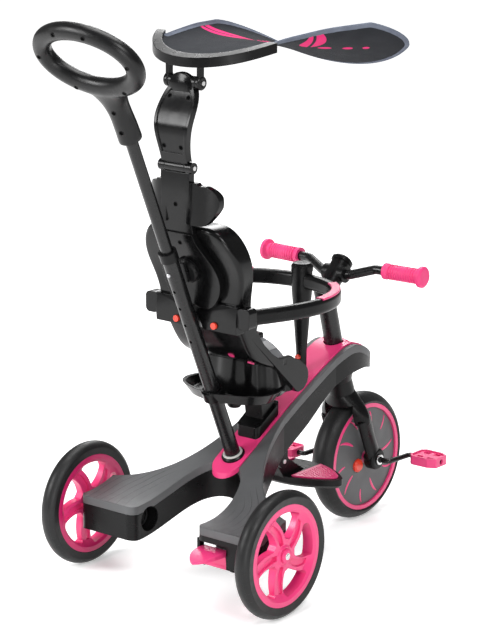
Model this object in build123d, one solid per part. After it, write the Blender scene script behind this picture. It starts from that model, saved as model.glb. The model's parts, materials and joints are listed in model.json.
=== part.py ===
from build123d import *
import math
import os

# Children's tricycle, in millimetres. +X is forward, +Y is left, +Z is up.
# The sizes are measured from the rear axle; the finished pieces are then moved
# so that the origin lies on the ground under the middle of the overall length.

# Overall layout
wheelbase = 526.0
origin_ahead_of_rear_axle = 176.0
running_clearance = 0.05
body_gap = 0.4
pad_gap = 0.3
frame_reach = 260.0
seat_reach = 140.0
pin_reach = 60.0
frame_ceiling = 420.0

# Rear wheels and axle
rear_radius = 115.0
rear_rim_radius = 92.0
rear_tyre_width = 32.0
rear_track = 452.0
rear_hub_radius = 16.0
rear_web_half = 6.0
rear_axle_radius = 6.0
rear_axle_reach = 17.0
rear_hub_half = 12.0
rear_spokes = 5
spoke_window_inner = 30.0
spoke_window_outer = 78.0
spoke_window_half_angle = 26.0
spoke_window_corner = 5.0
spoke_sweep = 13.0
spoke_groove_half_angle = 4.0
spoke_groove_floor = 3.0
rim_flange = 9.0
rim_dish = 13.0
brake_drum_radius = 20.0
brake_drum_pocket_gap = 3.0
brake_drum_inner_y = 96.0

# Front wheel, cranks and pedals
front_radius = 125.0
front_rim_radius = 105.0
front_ring_inner_radius = 97.0
front_tyre_width = 50.0
front_disc_half = 20.0
front_hub_radius = 14.0
crank_radius = 5.0
crank_length = 48.0
crank_lift = 6.0
crank_bend_y = 76.0
pedal_inner_y = 106.0
pedal_width = 60.0
pedal_length = 52.0
pedal_height = 18.0
clutch_knob_radius = 13.0
clutch_knob_back = 27.0
clutch_knob_drop = 12.0
clutch_knob_height = 9.0

# Fork, steering column and handlebar, along the raked steering axis
head_rake = 15.5
fork_offset = 12.0
fork_half_width = 54.0
fork_slot_half = 33.0
crown_radius = 24.0
crown_depth = 62.0
leg_half_length = 20.0
leg_waist_half = 17.0
wheel_room = 6.0
crown_top = 147.0
leg_boss_radius = 21.0
column_radius = 17.5
column_top = 372.0
bush_wall = 4.0
bush_length = 18.0
bush_top = 236.0
stem_radius = 18.5
stem_length = 70.0
stem_rise = 30.0
stem_foot = 358.0
bar_along_stem = 47.0
bar_radius = 9.0
bar_sweep_forward = 25.0
bar_rise = 9.0
grip_inner_y = 100.0
grip_length = 88.0
grip_radius = 13.0
grip_flange_radius = 20.0
grip_collar_radius = 15.5

# Frame: plan shape of the Y and side heights
arm_rear_x = -47.0
arm_front_x = 45.0
arm_inner_y = 72.0
arm_outer_y = 203.0
arm_corner_radius = 16.0
notch_front_x = 136.0
spine_half_width = 41.0
spine_start_x = 245.0
nose_x = 540.0
nose_half_width = 46.0
nose_start_x = 400.0
nose_start_z = 350.0
nose_crest_x = 455.0
nose_crest_z = 366.0
nose_drop_x = 505.0
nose_drop_z = 347.0
nose_tip_z = 304.0
arm_top_z = 154.0
cover_depth = 15.0
arm_bottom_z = 88.0
axle_bottom_z = 84.0
spine_cover_half = 30.0
spine_cover_rear_x = 104.0
spine_cover_front_x = 512.0
spine_cover_proud = 3.0
spine_cover_thickness = 7.0
head_cone_radius = 25.0
head_dome_radius = 36.0
head_dome_height = 12.0

# Push pole
pole_lean = 23.9
pole_base_x = 148.0
pole_base_z = 214.0
pole_socket_depth = 52.0
pole_outer_radius = 14.0
pole_inner_radius = 11.0
pole_collar_s = 450.0
pole_collar_radius = 16.5
pole_collar_length = 16.0
pole_overlap = 190.0
pole_upper_length = 465.0
pole_hole_pitch = 36.0
pole_holes = 5
pole_hole_radius = 3.0
pole_button_radius = 4.2
pole_button_below = 40.0
pole_button_proud = 3.0
pole_ring_radius = 22.0
pole_room = 4.0

# Loop handle
handle_tilt = 37.0
handle_rise = 132.0
handle_set_back = 34.0
handle_half_width = 122.0
handle_half_height = 100.0
handle_tube = 39.0
handle_half_depth = 17.0
handle_socket_radius = 21.0
handle_socket_length = 100.0
handle_edge_radius = 12.0

# Seat
tray_z = 330.0
tray_thickness = 20.0
tray_floor = 6.0
tray_wall = 5.0
tray_draft = 15.0
tray_rear_x = 70.0
tray_front_x = 246.0
tray_middle_x = 158.0
tray_half_width = 100.0
drum_x = 186.0
drum_half_length = 56.0
drum_half_width = 82.0
drum_top_scale = 0.9
drum_squareness = 2.6
drum_flute_depth = 0.05
drum_points = 72
drum_top_z = 408.0
drum_flutes = 9
shell_wall = 6.0
shell_half_width = 107.0
shell_top_z = 668.0
flank_depth = 46.0
rim_start_z = 486.0
rim_low_x = 226.0
rim_low_z = 333.0
rim_tip_x = 257.0
rim_inner_y = 70.0
rim_outer_y = 86.0
shell_edge_radius = 8.0
seat_pad_thickness = 13.0
pommel_radius = 27.0
pommel_x = 228.0
pommel_z = 384.0
band_half_width = 92.0
band_rear_x = 40.0
pedestal_half_width = 26.0
pedestal_foot_height = 24.0
pedestal_corner_radius = 9.0
pedestal_neck_inset = 6.0
pedestal_foot_rear_x = 186.0
pedestal_foot_front_x = 252.0
knob_radius = 13.0
knob_x = 150.0
knob_drop = 24.0
plug_size = 9.0
plug_proud = 2.5
belt_width = 30.0
belt_thickness = 3.0
buckle_length = 46.0
belt_x = 188.0
belt_z = 397.0
belt_end_y = 77.7
belt_arch = 36.0

# Backrest, dial, headrest and canopy arm
plate_half_width = 60.0
plate_thickness = 14.0
plate_bottom_z = 520.0
plate_top_z = 655.0
dial_z = 585.0
dial_radius = 24.0
dial_height = 8.0
strip_half_width = 32.0
strip_thickness = 14.0
wing_reach = 80.0
wing_forward = 24.0
wing_top_z = 748.0
mid_hinge_x = -7.0
mid_hinge_z = 773.0
mid_hinge_radius = 10.0
mid_hinge_half = 37.0
mid_knuckle_half = 22.0
hinge_pin_radius = 4.0
top_hinge_x = 13.0
top_hinge_z = 918.0
top_hinge_radius = 11.0
arm_half_width = 30.0
arm_waist_half = 30.0
arm_shoulder_half = 40.0
arm_thickness = 13.0
link_thickness = 9.0
link_neck = 9.0

# Canopy
canopy_rear_radius = 137.0
canopy_rear_x = 9.0
canopy_shoulder_x = 92.0
canopy_corner_x = 369.0
canopy_corner_y = 200.0
canopy_corner_z = 996.0
canopy_waist_y = 76.0
canopy_waist_z = 993.0
canopy_rear_z = 955.0
canopy_shoulder_z = 979.0
canopy_front_z = 898.0
canopy_front_bow = 0.78
canopy_front_drop = 0.42
canopy_crown = 25.0
canopy_corner_radius = 52.0
canopy_rows = 16
canopy_columns = 28
canopy_front_x = 465.0
canopy_thickness = 3.0
rim_width = 17.0
rim_height = 17.0
rim_end = 6.0

# Safety hoop and its post
hoop_z = 506.0
hoop_rear_x = 66.0
hoop_rear_y = 105.0
hoop_half_width = 147.0
hoop_button_y = 43.0
hoop_button_z = 486.0
hoop_front_x = 344.0
hoop_widest_x = 215.0
hoop_edge_radius = 8.0
hoop_pad_start = 0.2
hoop_pad_end = 0.37
hoop_pad_half_width = 8.5
hoop_pad_depth = 4.0
hoop_half_height = 14.0
hoop_half_thickness = 10.0
hoop_pad_proud = 1.2
post_top_radius = 19.5
post_foot_radius = 10.0
post_x = 347.0
post_cap_height = 16.0
post_cap_notches = 12
post_cap_notch_radius = 2.2
button_radius = 6.0
button_depth = 11.0
button_proud = 3.0
button_travel = 3.0
post_button_z = 360.0

# Brake lever and footrest
brake_y = -104.0
brake_half_width = 29.0
brake_pivot_x = -20.0
brake_pivot_z = 75.0
brake_reach = 72.0
brake_top_rise = 31.0
brake_thickness = 8.0
brake_tip_drop = 9.0
lever_recess_top_z = 121.0
cheek_outer = 36.0
cheek_thickness = 6.0
footrest_pivot_x = 262.0
footrest_pivot_z = 180.0
footrest_middle_x = 325.0
footrest_half_length = 53.0
footrest_half_width = 118.0
footrest_top_z = 150.0
footrest_thickness = 17.0
tread_thickness = 3.0
tread_inner_y = 31.0
footrest_knuckle_radius = 12.0
rest_cheek_inner = 20.0
rest_cheek_outer = 28.0


def side_prism(face, half_width):
    """A side-view face, drawn as (x, z), swept out to both sides."""
    return extrude(Plane.XZ * face, half_width, both=True)


def side_band(face, near_y, far_y):
    """A side-view face swept from one lateral place to another."""
    return extrude(Plane.XZ.offset(-near_y) * face, far_y - near_y, dir=(0, 1, 0))


def plan_prism(face, bottom, top):
    """A plan face swept from one height to another."""
    return extrude(Pos(0, 0, bottom) * face, top - bottom, dir=(0, 0, 1))


def cross_cylinder(x, z, radius, y_from, y_to):
    """A cylinder lying along Y."""
    middle = (y_from + y_to) / 2
    return Pos(x, middle, z) * Rot(90, 0, 0) * Cylinder(radius, abs(y_to - y_from))


def turned(profile_points):
    """A solid of revolution about its own Z axis, from (radius, height) points."""
    outline = make_face(Polyline(*profile_points, close=True))
    return revolve(Plane.XZ * outline, Axis.Z)


def both_sides(piece):
    return piece + mirror(piece, about=Plane.XZ)


def steering_plane():
    """Local frame on the steering axis: x forward, y left, z up the column."""
    rake = math.radians(head_rake)
    forward = Vector(math.cos(rake), 0, math.sin(rake))
    upward = Vector(-math.sin(rake), 0, math.cos(rake))
    hub = Vector(wheelbase, 0, front_radius)
    return Plane(origin=hub - forward * fork_offset, x_dir=forward, z_dir=upward)


def pole_plane():
    """Local frame at the foot of the push pole, z up along the pole."""
    lean = math.radians(pole_lean)
    return Plane(
        origin=(pole_base_x, 0, pole_base_z),
        x_dir=(math.cos(lean), 0, math.sin(lean)),
        z_dir=(-math.sin(lean), 0, math.cos(lean)),
    )


steering = steering_plane()
pole = pole_plane()


# Frame heights, as smooth side curves
def frame_top_curve(lift=0.0):
    return Spline(
        (arm_rear_x - 20, arm_top_z - 4 + lift),
        (arm_front_x, arm_top_z + 6 + lift),
        (pole_base_x - 40, pole_base_z - 24 + lift),
        (pole_base_x + 30, pole_base_z + 17 + lift),
        (spine_start_x + 50, pole_base_z + 84 + lift),
        (nose_start_x, nose_start_z + lift),
        (nose_crest_x, nose_crest_z + lift),
        (nose_drop_x, nose_drop_z + lift),
        (nose_x + 20, nose_tip_z + lift),
    )


def frame_split_curve():
    """Joint line between the upper cover and the lower shell."""
    return frame_top_curve(-cover_depth)


def frame_bottom_curve():
    return Spline(
        (arm_rear_x - 20, arm_bottom_z),
        (0, axle_bottom_z),
        (arm_front_x + 15, axle_bottom_z + 18),
        (arm_front_x + 75, axle_bottom_z + 46),
        (spine_start_x - 55, axle_bottom_z + 76),
        (spine_start_x, axle_bottom_z + 116),
        (spine_start_x + 76, axle_bottom_z + 162),
        (nose_start_x - 20, nose_start_z - 62),
        (nose_crest_x - 15, nose_crest_z - 54),
        (nose_drop_x - 5, nose_drop_z - 33),
        (nose_x + 20, nose_tip_z - 22),
    )


def between(lower, upper):
    """The side face between two curves that run from rear to front."""
    closing_front = Line(lower @ 1, upper @ 1)
    closing_rear = Line(lower @ 0, upper @ 0)
    return make_face([lower, upper, closing_front, closing_rear])


def frame_plan():
    """Plan of the Y: two arms, the notch between them, the spine and the nose."""
    notch_rear = (arm_rear_x, arm_inner_y)
    outer_rear = (arm_rear_x, arm_outer_y)
    outer_front = (arm_front_x, arm_outer_y)
    spine_rear = (spine_start_x, spine_half_width)
    spine_front = (nose_start_x, spine_half_width + 1)
    notch_bend = (arm_front_x, arm_inner_y + 12)
    notch = Bezier((notch_front_x, 0), (notch_front_x, arm_inner_y - 10), notch_bend, notch_rear)
    heel = Line(notch_rear, outer_rear)
    end = Line(outer_rear, outer_front)
    shoulder_bend = (arm_front_x + 25, arm_inner_y + 40)
    spine_bend = (spine_start_x - 95, spine_half_width + 11)
    shoulder = Bezier(outer_front, shoulder_bend, spine_bend, spine_rear)
    flank = Line(spine_rear, spine_front)
    nose_bend = (nose_start_x + 70, nose_half_width + 6)
    nose = Bezier(spine_front, nose_bend, (nose_x, nose_half_width), (nose_x, 0))
    axis_line = Line((nose_x, 0), (notch_front_x, 0))
    half = make_face([notch, heel, end, shoulder, flank, nose, axis_line])
    rear_corners = half.vertices().filter_by_position(Axis.X, arm_rear_x - 1, arm_rear_x + 1)
    half = fillet(rear_corners, arm_corner_radius)
    return half + mirror(half, about=Plane.XZ)


def spine_plan(inset=0.0):
    half = spine_cover_half - inset
    rear_x = spine_cover_rear_x + inset
    front_x = spine_cover_front_x - inset
    rear_arc = ThreePointArc((rear_x + half, half), (rear_x, 0), (rear_x + half, -half))
    upper = Line((rear_x + half, half), (front_x - half, half + 4))
    lower = Line((rear_x + half, -half), (front_x - half, -half - 4))
    front = Bezier(
        (front_x - half, half + 4),
        (front_x - 4, half + 6),
        (front_x, half / 2),
        (front_x, 0),
    )
    front_other = Bezier(
        (front_x - half, -half - 4),
        (front_x - 4, -half - 6),
        (front_x, -half / 2),
        (front_x, 0),
    )
    return make_face([rear_arc, upper, lower, front, front_other])


def column_bore(radius):
    height = column_top
    return steering.location * Pos(0, 0, height / 2) * Cylinder(radius, height)


def pole_bore(radius):
    height = pole_socket_depth * 4
    return pole.location * Pos(0, 0, height / 2 - pole_socket_depth) * Cylinder(radius, height)


plan_all = plan_prism(frame_plan(), 0, frame_ceiling)
upper_band = side_prism(between(frame_split_curve(), frame_top_curve()), frame_reach)
lower_band = side_prism(between(frame_bottom_curve(), frame_split_curve()), frame_reach)
spine_under = frame_top_curve(-spine_cover_thickness)
spine_band = side_prism(between(spine_under, frame_top_curve(spine_cover_proud)), frame_reach)


def spine_cover():
    cover = plan_prism(spine_plan(), 0, frame_ceiling) & spine_band
    dome = steering.location * Pos(0, 0, bush_top) * turned(
        [
            (0, 0),
            (head_dome_radius, 0),
            (head_dome_radius - 4, head_dome_height * 0.7),
            (column_radius + 6, head_dome_height + 4),
            (0, head_dome_height + 4),
        ]
    )
    above = side_prism(between(frame_top_curve(), frame_top_curve(60)), frame_reach)
    cover = cover + (dome & above)
    cover = cover - column_bore(column_radius + 1.5)
    return cover - pole_bore(pole_ring_radius)


def drum_pockets():
    """Round pockets in the arms, on the axle line, open to the notch."""
    radius = brake_drum_radius + brake_drum_pocket_gap
    return both_sides(cross_cylinder(0, rear_radius, radius, 40, arm_outer_y + 5))


def lever_recess():
    """Room for the brake lever under the rear of the right arm."""
    half = brake_half_width + 14
    block = Pos(arm_rear_x + 4, brake_y, lever_recess_top_z - 50) * Box(70, half * 2, 100)
    return fillet(block.edges().filter_by(Axis.Y), 8)


def frame_upper_cover():
    cover = plan_all & upper_band
    recess = plan_prism(spine_plan(), 0, frame_ceiling) & side_prism(
        between(frame_top_curve(-spine_cover_thickness), frame_top_curve(60)), frame_reach
    )
    cover = cover - recess - column_bore(column_radius + bush_wall)
    return cover - drum_pockets() - pole_bore(pole_outer_radius)


def frame_lower_shell():
    shell = plan_all & lower_band
    cone = steering.location * turned(
        [
            (0, crown_top + body_gap),
            (head_cone_radius, crown_top + body_gap),
            (head_cone_radius - 2, crown_top + 26),
            (head_cone_radius + 6, bush_top - 40),
            (head_cone_radius + 6, bush_top - 20),
            (0, bush_top - 20),
        ]
    )
    below = side_prism(between(frame_split_curve(), frame_top_curve(120)), frame_reach)
    shell = shell + (cone - below)
    shell = shell - drum_pockets() - lever_recess() - column_bore(column_radius + bush_wall)
    return shell - pole_bore(pole_outer_radius)


def steering_bush(bottom):
    ring = Cylinder(column_radius + bush_wall, bush_length) - Cylinder(
        column_radius + running_clearance, bush_length
    )
    return steering.location * Pos(0, 0, bottom + bush_length / 2) * ring


def steering_bushes():
    lower = steering_bush(crown_top + body_gap)
    upper = steering_bush(bush_top - bush_length)
    return [lower, upper]


# Rear axle, brake drums and rear wheels
def rear_axle(side):
    """Stub axle of one rear wheel, held in the arm's brake drum."""
    reach = rear_track / 2 + rear_axle_reach
    return cross_cylinder(0, rear_radius, rear_axle_radius, side * (brake_drum_inner_y + 6), side * reach)


def brake_drum(side):
    outer_y = arm_outer_y - 1
    drum = cross_cylinder(0, rear_radius, brake_drum_radius, brake_drum_inner_y, outer_y)
    lip = cross_cylinder(0, rear_radius, brake_drum_radius - 5, brake_drum_inner_y, brake_drum_inner_y + 3)
    core = cross_cylinder(0, rear_radius, brake_drum_radius - 9, brake_drum_inner_y, brake_drum_inner_y + 3)
    foot = cross_cylinder(
        0, rear_radius, brake_drum_radius + brake_drum_pocket_gap, brake_drum_inner_y + 25, outer_y
    )
    drum = drum + foot - (lip - core)
    drum = drum - cross_cylinder(0, rear_radius, rear_axle_radius, brake_drum_inner_y + 6, outer_y + 5)
    if side < 0:
        drum = mirror(drum, about=Plane.XZ)
    return drum


def tyre_profile(outer, inner, width, crown):
    """Half section of a rounded tyre, as (radius, half width) arcs."""
    half = width / 2
    shoulder = outer - crown
    left = Line((inner, -half + 2), (shoulder, -half))
    tread = ThreePointArc((shoulder, -half), (outer, 0), (shoulder, half))
    right = Line((shoulder, half), (inner, half - 2))
    bead = Line((inner, half - 2), (inner, -half + 2))
    return make_face([left, tread, right, bead])


def wheel_turned(face):
    """Turn a (radius, width) section about the wheel's axle, which lies along Y."""
    return Rot(-90, 0, 0) * revolve(Plane.XZ * face, Axis.Z)


def rear_tyre():
    return wheel_turned(tyre_profile(rear_radius, rear_rim_radius, rear_tyre_width, 10))


def swirl_window(inner, outer, half_angle, sweep, root_ratio=0.45):
    """A curved window between two spokes, in the wheel's own plane."""

    def at(radius, angle):
        return (radius * math.cos(math.radians(angle)), radius * math.sin(math.radians(angle)))

    middle = (inner + outer) / 2
    root_angle = half_angle * root_ratio
    middle_angle = (half_angle + root_angle) / 2 + half_angle * 0.15
    drift = sweep * 0.3
    outer_start = at(outer, sweep - half_angle)
    outer_arc = ThreePointArc(outer_start, at(outer, sweep), at(outer, sweep + half_angle))
    trailing = ThreePointArc(outer_arc @ 1, at(middle, drift + middle_angle), at(inner, root_angle))
    root = Line(trailing @ 1, at(inner, -root_angle))
    leading = ThreePointArc(root @ 1, at(middle, drift - middle_angle), outer_arc @ 0)
    return make_face([outer_arc, trailing, root, leading])


def rear_rim():
    """Dished rim with five curved spokes, each with a groove that widens towards the hub."""
    half = rear_tyre_width / 2 - 2
    bore = rear_axle_radius + running_clearance
    flange_radius = rear_rim_radius - rim_flange
    web_radius = flange_radius - rim_dish
    shoulder = rear_web_half + 3
    outer_side = [
        (bore, rear_hub_half),
        (rear_hub_radius, rear_hub_half),
        (rear_hub_radius + 3, shoulder),
        (web_radius, rear_web_half),
        (flange_radius, half),
        (rear_rim_radius, half),
    ]
    inner_side = [(radius, -width) for radius, width in reversed(outer_side)]
    rim = wheel_turned(make_face(Polyline(*outer_side, *inner_side, close=True)))
    pitch = 360.0 / rear_spokes
    window = swirl_window(spoke_window_inner, spoke_window_outer, spoke_window_half_angle, spoke_sweep)
    window = fillet(window.vertices(), spoke_window_corner)
    groove = swirl_window(rear_hub_radius + 5, web_radius, spoke_groove_half_angle, spoke_sweep, 3.2)
    channel = side_prism(groove, rear_tyre_width) - side_prism(groove, spoke_groove_floor)
    for count in range(rear_spokes):
        rim = rim - Rot(0, pitch * count, 0) * side_prism(window, rear_tyre_width)
        rim = rim - Rot(0, pitch * (count + 0.5), 0) * channel
    return rim


def rear_hub_cap():
    """Domed collar pressed on the axle, outside the hub, with the axle end showing."""
    face = rear_hub_half + body_gap
    cap_radius = rear_hub_radius - 3
    length = rear_axle_reach - face
    rim_rise = length * 0.6
    collar = turned(
        [
            (rear_axle_radius, 0),
            (cap_radius, 0),
            (cap_radius, rim_rise),
            (cap_radius * 0.75, length),
            (rear_axle_radius, length),
        ]
    )
    return Pos(0, face, 0) * Rot(-90, 0, 0) * collar


def place_rear_wheel(piece, side):
    placed = Pos(0, rear_track / 2, rear_radius) * piece
    if side < 0:
        placed = mirror(placed, about=Plane.XZ)
    return placed


# Front wheel
def place_front(piece):
    return Pos(wheelbase, 0, front_radius) * piece


def front_tyre():
    return place_front(wheel_turned(tyre_profile(front_radius, front_rim_radius, front_tyre_width, 16)))


def front_rim():
    """Ring that carries the tyre, with a web and a hub between the two cover discs."""
    half = front_tyre_width / 2 - 2
    inside = front_disc_half - 5
    section = make_face(
        Polyline(
            (crank_radius, -front_disc_half),
            (front_hub_radius, -front_disc_half),
            (front_hub_radius, -inside),
            (front_ring_inner_radius, -inside),
            (front_ring_inner_radius, -half),
            (front_rim_radius, -half),
            (front_rim_radius, half),
            (front_ring_inner_radius, half),
            (front_ring_inner_radius, inside),
            (front_hub_radius, inside),
            (front_hub_radius, front_disc_half),
            (crank_radius, front_disc_half),
            close=True,
        )
    )
    return place_front(wheel_turned(section))


def front_disc(side):
    """Shallow cone cover with curved slots that show the ring's colour."""
    inside = front_disc_half - 5
    cover = wheel_turned(
        make_face(
            Polyline(
                (front_hub_radius, inside),
                (front_ring_inner_radius, inside),
                (front_ring_inner_radius, inside + 4),
                (front_hub_radius + 16, front_disc_half + 2),
                (front_hub_radius, front_disc_half + 2),
                close=True,
            )
        )
    )
    slot_long = swirl_window(front_ring_inner_radius - 47, front_ring_inner_radius - 8, 1.1, 9)
    slot_short = swirl_window(front_ring_inner_radius - 31, front_ring_inner_radius - 5, 1.0, 7)
    pairs = 5
    for count in range(pairs):
        step = 360.0 / pairs
        cover = cover - Rot(0, step * count, 0) * side_prism(slot_long, front_tyre_width)
        cover = cover - Rot(0, step * (count + 0.42), 0) * side_prism(slot_short, front_tyre_width)
    knob_hole = cross_cylinder(
        -clutch_knob_back, -clutch_knob_drop, clutch_knob_radius + body_gap, 0, front_tyre_width
    )
    if side < 0:
        cover = mirror(cover, about=Plane.XZ) - mirror(knob_hole, about=Plane.XZ)
    return place_front(cover)


def clutch_knob():
    inside = front_disc_half - 5 + 4
    knob = turned(
        [
            (0, 0),
            (clutch_knob_radius, 0),
            (clutch_knob_radius, clutch_knob_height - 3),
            (clutch_knob_radius - 3, clutch_knob_height),
            (0, clutch_knob_height),
        ]
    )
    place = Pos(-clutch_knob_back, -inside, -clutch_knob_drop) * Rot(90, 0, 0)
    return place_front(place * knob)


def crank_axle():
    """One bent rod: axle, two cranks and two pedal spindles."""
    tip_y = pedal_inner_y + pedal_width - 4
    half_run = [
        (0, crank_bend_y, 0),
        (crank_length, crank_bend_y + 16, crank_lift),
        (crank_length, tip_y, crank_lift),
    ]
    left = [Vector(-x, y, -z) for x, y, z in half_run]
    right = [Vector(x, -y, z) for x, y, z in half_run]
    path = FilletPolyline(*reversed(right), *left, radius=8)
    start = Plane(origin=path @ 0, z_dir=path % 0)
    return place_front(sweep(start * Circle(crank_radius), path))


def pedal(side):
    """Open pedal block with a raised rim, slots and a bore for its spindle."""
    half_l = pedal_length / 2
    half_w = pedal_width / 2
    nose_in = pedal_length * 0.32
    outline = make_face(
        Polyline(
            (-half_l, -half_w + 8),
            (-half_l + 8, -half_w),
            (half_l - 8, -half_w),
            (half_l, -half_w + 8),
            (half_l, half_w - 16),
            (half_l - nose_in / 2, half_w),
            (-half_l + nose_in / 2, half_w),
            (-half_l, half_w - 16),
            close=True,
        )
    )
    body = extrude(outline, pedal_height / 2, both=True)
    body = fillet(body.edges().filter_by(Axis.Z), 3)
    inner = offset(outline, -4)
    for lift in (-1, 1):
        body = body - Pos(0, 0, lift * pedal_height / 2) * extrude(inner, 2.5, both=True)
    for across in (-1, 1):
        for along in (-1, 1):
            slot = Box(pedal_length * 0.2, pedal_width * 0.22, pedal_height * 2)
            body = body - Pos(along * half_l * 0.52, across * half_w * 0.38, 0) * slot
    bore = Rot(90, 0, 0) * Cylinder(crank_radius + running_clearance, pedal_width * 2)
    body = body - bore
    centre_y = pedal_inner_y + half_w
    if side < 0:
        body = mirror(body, about=Plane.XZ)
    return place_front(Pos(-side * crank_length, side * centre_y, -side * crank_lift) * body)


# Fork, column, stem, handlebar
def fork():
    """Crown under the head that spreads into two round legs, each ending in an axle boss."""
    leg_y = (fork_half_width + fork_slot_half) / 2
    leg_half = (fork_half_width - fork_slot_half) / 2
    leg_top = crown_top - crown_depth
    crown = loft(
        [
            Pos(0, 0, crown_top) * Circle(crown_radius),
            Pos(0, 0, crown_top - crown_depth * 0.3) * Ellipse(crown_radius + 2, fork_half_width * 0.72),
            Pos(0, 0, crown_top - crown_depth * 0.7) * Ellipse(crown_radius, fork_half_width),
            Pos(0, 0, leg_top) * Ellipse(leg_half_length, fork_half_width + 1),
        ]
    )
    leg = loft(
        [
            Pos(0, leg_y, leg_top + 8) * Ellipse(leg_half_length - 1.5, leg_half - 0.6),
            Pos(fork_offset * 0.3, leg_y, leg_top * 0.55) * Ellipse(leg_waist_half, leg_half - 0.6),
            Pos(fork_offset, leg_y, 0) * Ellipse(leg_half_length - 1.5, leg_half - 0.6),
        ]
    )
    room = cross_cylinder(fork_offset, 0, front_radius + wheel_room, -fork_slot_half, fork_slot_half)
    boss = cross_cylinder(fork_offset, 0, leg_boss_radius, fork_slot_half, fork_half_width)
    boss = fillet(boss.edges().sort_by(Axis.Y)[-1], 5)
    body = (crown - room) + both_sides(leg + boss)
    recess = cross_cylinder(fork_offset, 0, crank_radius + 5, fork_half_width - 3, fork_half_width + 10)
    bore = cross_cylinder(fork_offset, 0, crank_radius + running_clearance, -crank_bend_y, crank_bend_y)
    return steering.location * (body - bore - both_sides(recess))


def steering_column():
    height = column_top - crown_top
    column = Pos(0, 0, crown_top + height / 2) * Cylinder(column_radius, height)
    return steering.location * (column - stem_body_local())


def stem_axis():
    return Plane(
        origin=(0, 0, stem_foot),
        x_dir=(0, 1, 0),
        z_dir=(math.cos(math.radians(stem_rise)), 0, math.sin(math.radians(stem_rise))),
    )


def bar_centre():
    rise = math.radians(stem_rise)
    return (bar_along_stem * math.cos(rise), stem_foot + bar_along_stem * math.sin(rise))


def stem_body_local():
    """Forward-leaning stem: a thick barrel on the column with a split clamp for the bar."""
    barrel = stem_axis().location * Pos(0, 0, stem_length / 2) * Cylinder(stem_radius, stem_length)
    socket = Pos(0, 0, stem_foot) * Cylinder(column_radius + 3.5, 40)
    socket = socket + Pos(0, 0, stem_foot) * Sphere(column_radius + 3)
    x, z = bar_centre()
    clamp = cross_cylinder(x, z, bar_radius + 7, -24, 24)
    body = barrel + socket + clamp
    return body - cross_cylinder(x, z, bar_radius, -pin_reach, pin_reach)


def stem():
    return steering.location * stem_body_local()


def stem_cap():
    cap = turned(
        [
            (0, stem_length),
            (stem_radius + 2.5, stem_length),
            (stem_radius + 2.5, stem_length + 6),
            (stem_radius - 2, stem_length + 10),
            (0, stem_length + 10),
        ]
    )
    return steering.location * (stem_axis().location * cap)


def bar_points():
    x, z = bar_centre()
    outer_y = grip_inner_y + grip_length - 6
    return [
        (x, 0, z),
        (x, 30, z),
        (x + bar_sweep_forward * 0.9, grip_inner_y - 22, z + bar_rise),
        (x + bar_sweep_forward, outer_y, z + bar_rise),
    ]


def handlebar():
    right = [Vector(px, -py, pz) for px, py, pz in bar_points()[1:]]
    left = [Vector(px, py, pz) for px, py, pz in bar_points()[1:]]
    path = FilletPolyline(*reversed(right), *left, radius=22)
    start = Plane(origin=path @ 0, z_dir=path % 0)
    return steering.location * sweep(start * Circle(bar_radius), path)


def grip(side):
    """Barrel grip with a rounded end flange and an inner collar, turned about the bar's end run."""
    flange = 9.0
    points = [
        (bar_radius, 0),
        (grip_collar_radius, 0),
        (grip_collar_radius, 6),
        (grip_radius, 11),
        (grip_radius + 1.2, grip_length * 0.45),
        (grip_radius, grip_length - flange - 4),
        (grip_flange_radius, grip_length - flange),
        (grip_flange_radius, grip_length - 3),
        (grip_flange_radius - 4, grip_length),
        (0, grip_length),
        (0, grip_length - 6),
        (bar_radius, grip_length - 6),
    ]
    body = turned(points)
    x, y_end, z = bar_points()[3]
    y_start = bar_points()[2][1]
    x_start = bar_points()[2][0]
    run = Vector(x - x_start, y_end - y_start, 0).normalized()
    foot = Vector(x, y_end, z) - run * (grip_length - 6)
    placed = Plane(origin=foot, x_dir=(0, 0, 1), z_dir=run).location * body
    if side < 0:
        placed = mirror(placed, about=Plane.XZ)
    return steering.location * placed


# Push pole and handle
def pole_lower_tube():
    length = pole_collar_s + pole_socket_depth
    tube = Cylinder(pole_outer_radius, length) - Cylinder(pole_inner_radius + running_clearance, length)
    tube = Pos(0, 0, length / 2 - pole_socket_depth) * tube
    for count in range(pole_holes):
        s = pole_collar_s - pole_button_below - count * pole_hole_pitch
        hole = Pos(-pole_outer_radius, 0, s) * Rot(0, 90, 0)
        radius = pole_button_radius + running_clearance if count == 0 else pole_hole_radius
        tube = tube - hole * Cylinder(radius, pole_outer_radius)
    return pole.location * tube


def pole_collar():
    ring = Cylinder(pole_collar_radius, pole_collar_length)
    ring = ring - Cylinder(pole_outer_radius, pole_collar_length)
    lip = Cylinder(pole_collar_radius, 2) - Cylinder(pole_inner_radius + body_gap, 2)
    collar = Pos(0, 0, pole_collar_s - pole_collar_length / 2) * ring
    collar = collar + Pos(0, 0, pole_collar_s + 1) * lip
    return pole.location * collar


def pole_ring():
    """Ring set in the spine cover, round the foot of the pole."""
    ring = turned(
        [
            (pole_outer_radius, -10),
            (pole_ring_radius, -10),
            (pole_ring_radius, 3),
            (pole_ring_radius - 3, 6),
            (pole_outer_radius, 6),
        ]
    )
    cover_below = side_prism(between(frame_bottom_curve(), spine_under), frame_reach)
    return pole.location * ring - cover_below


def pole_upper_tube():
    bottom = pole_collar_s - pole_overlap
    tube = Cylinder(pole_inner_radius, pole_upper_length)
    tube = tube - Cylinder(pole_inner_radius - 1.5, pole_upper_length)
    tube = Pos(0, 0, bottom + pole_upper_length / 2) * tube
    return pole.location * tube


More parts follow.
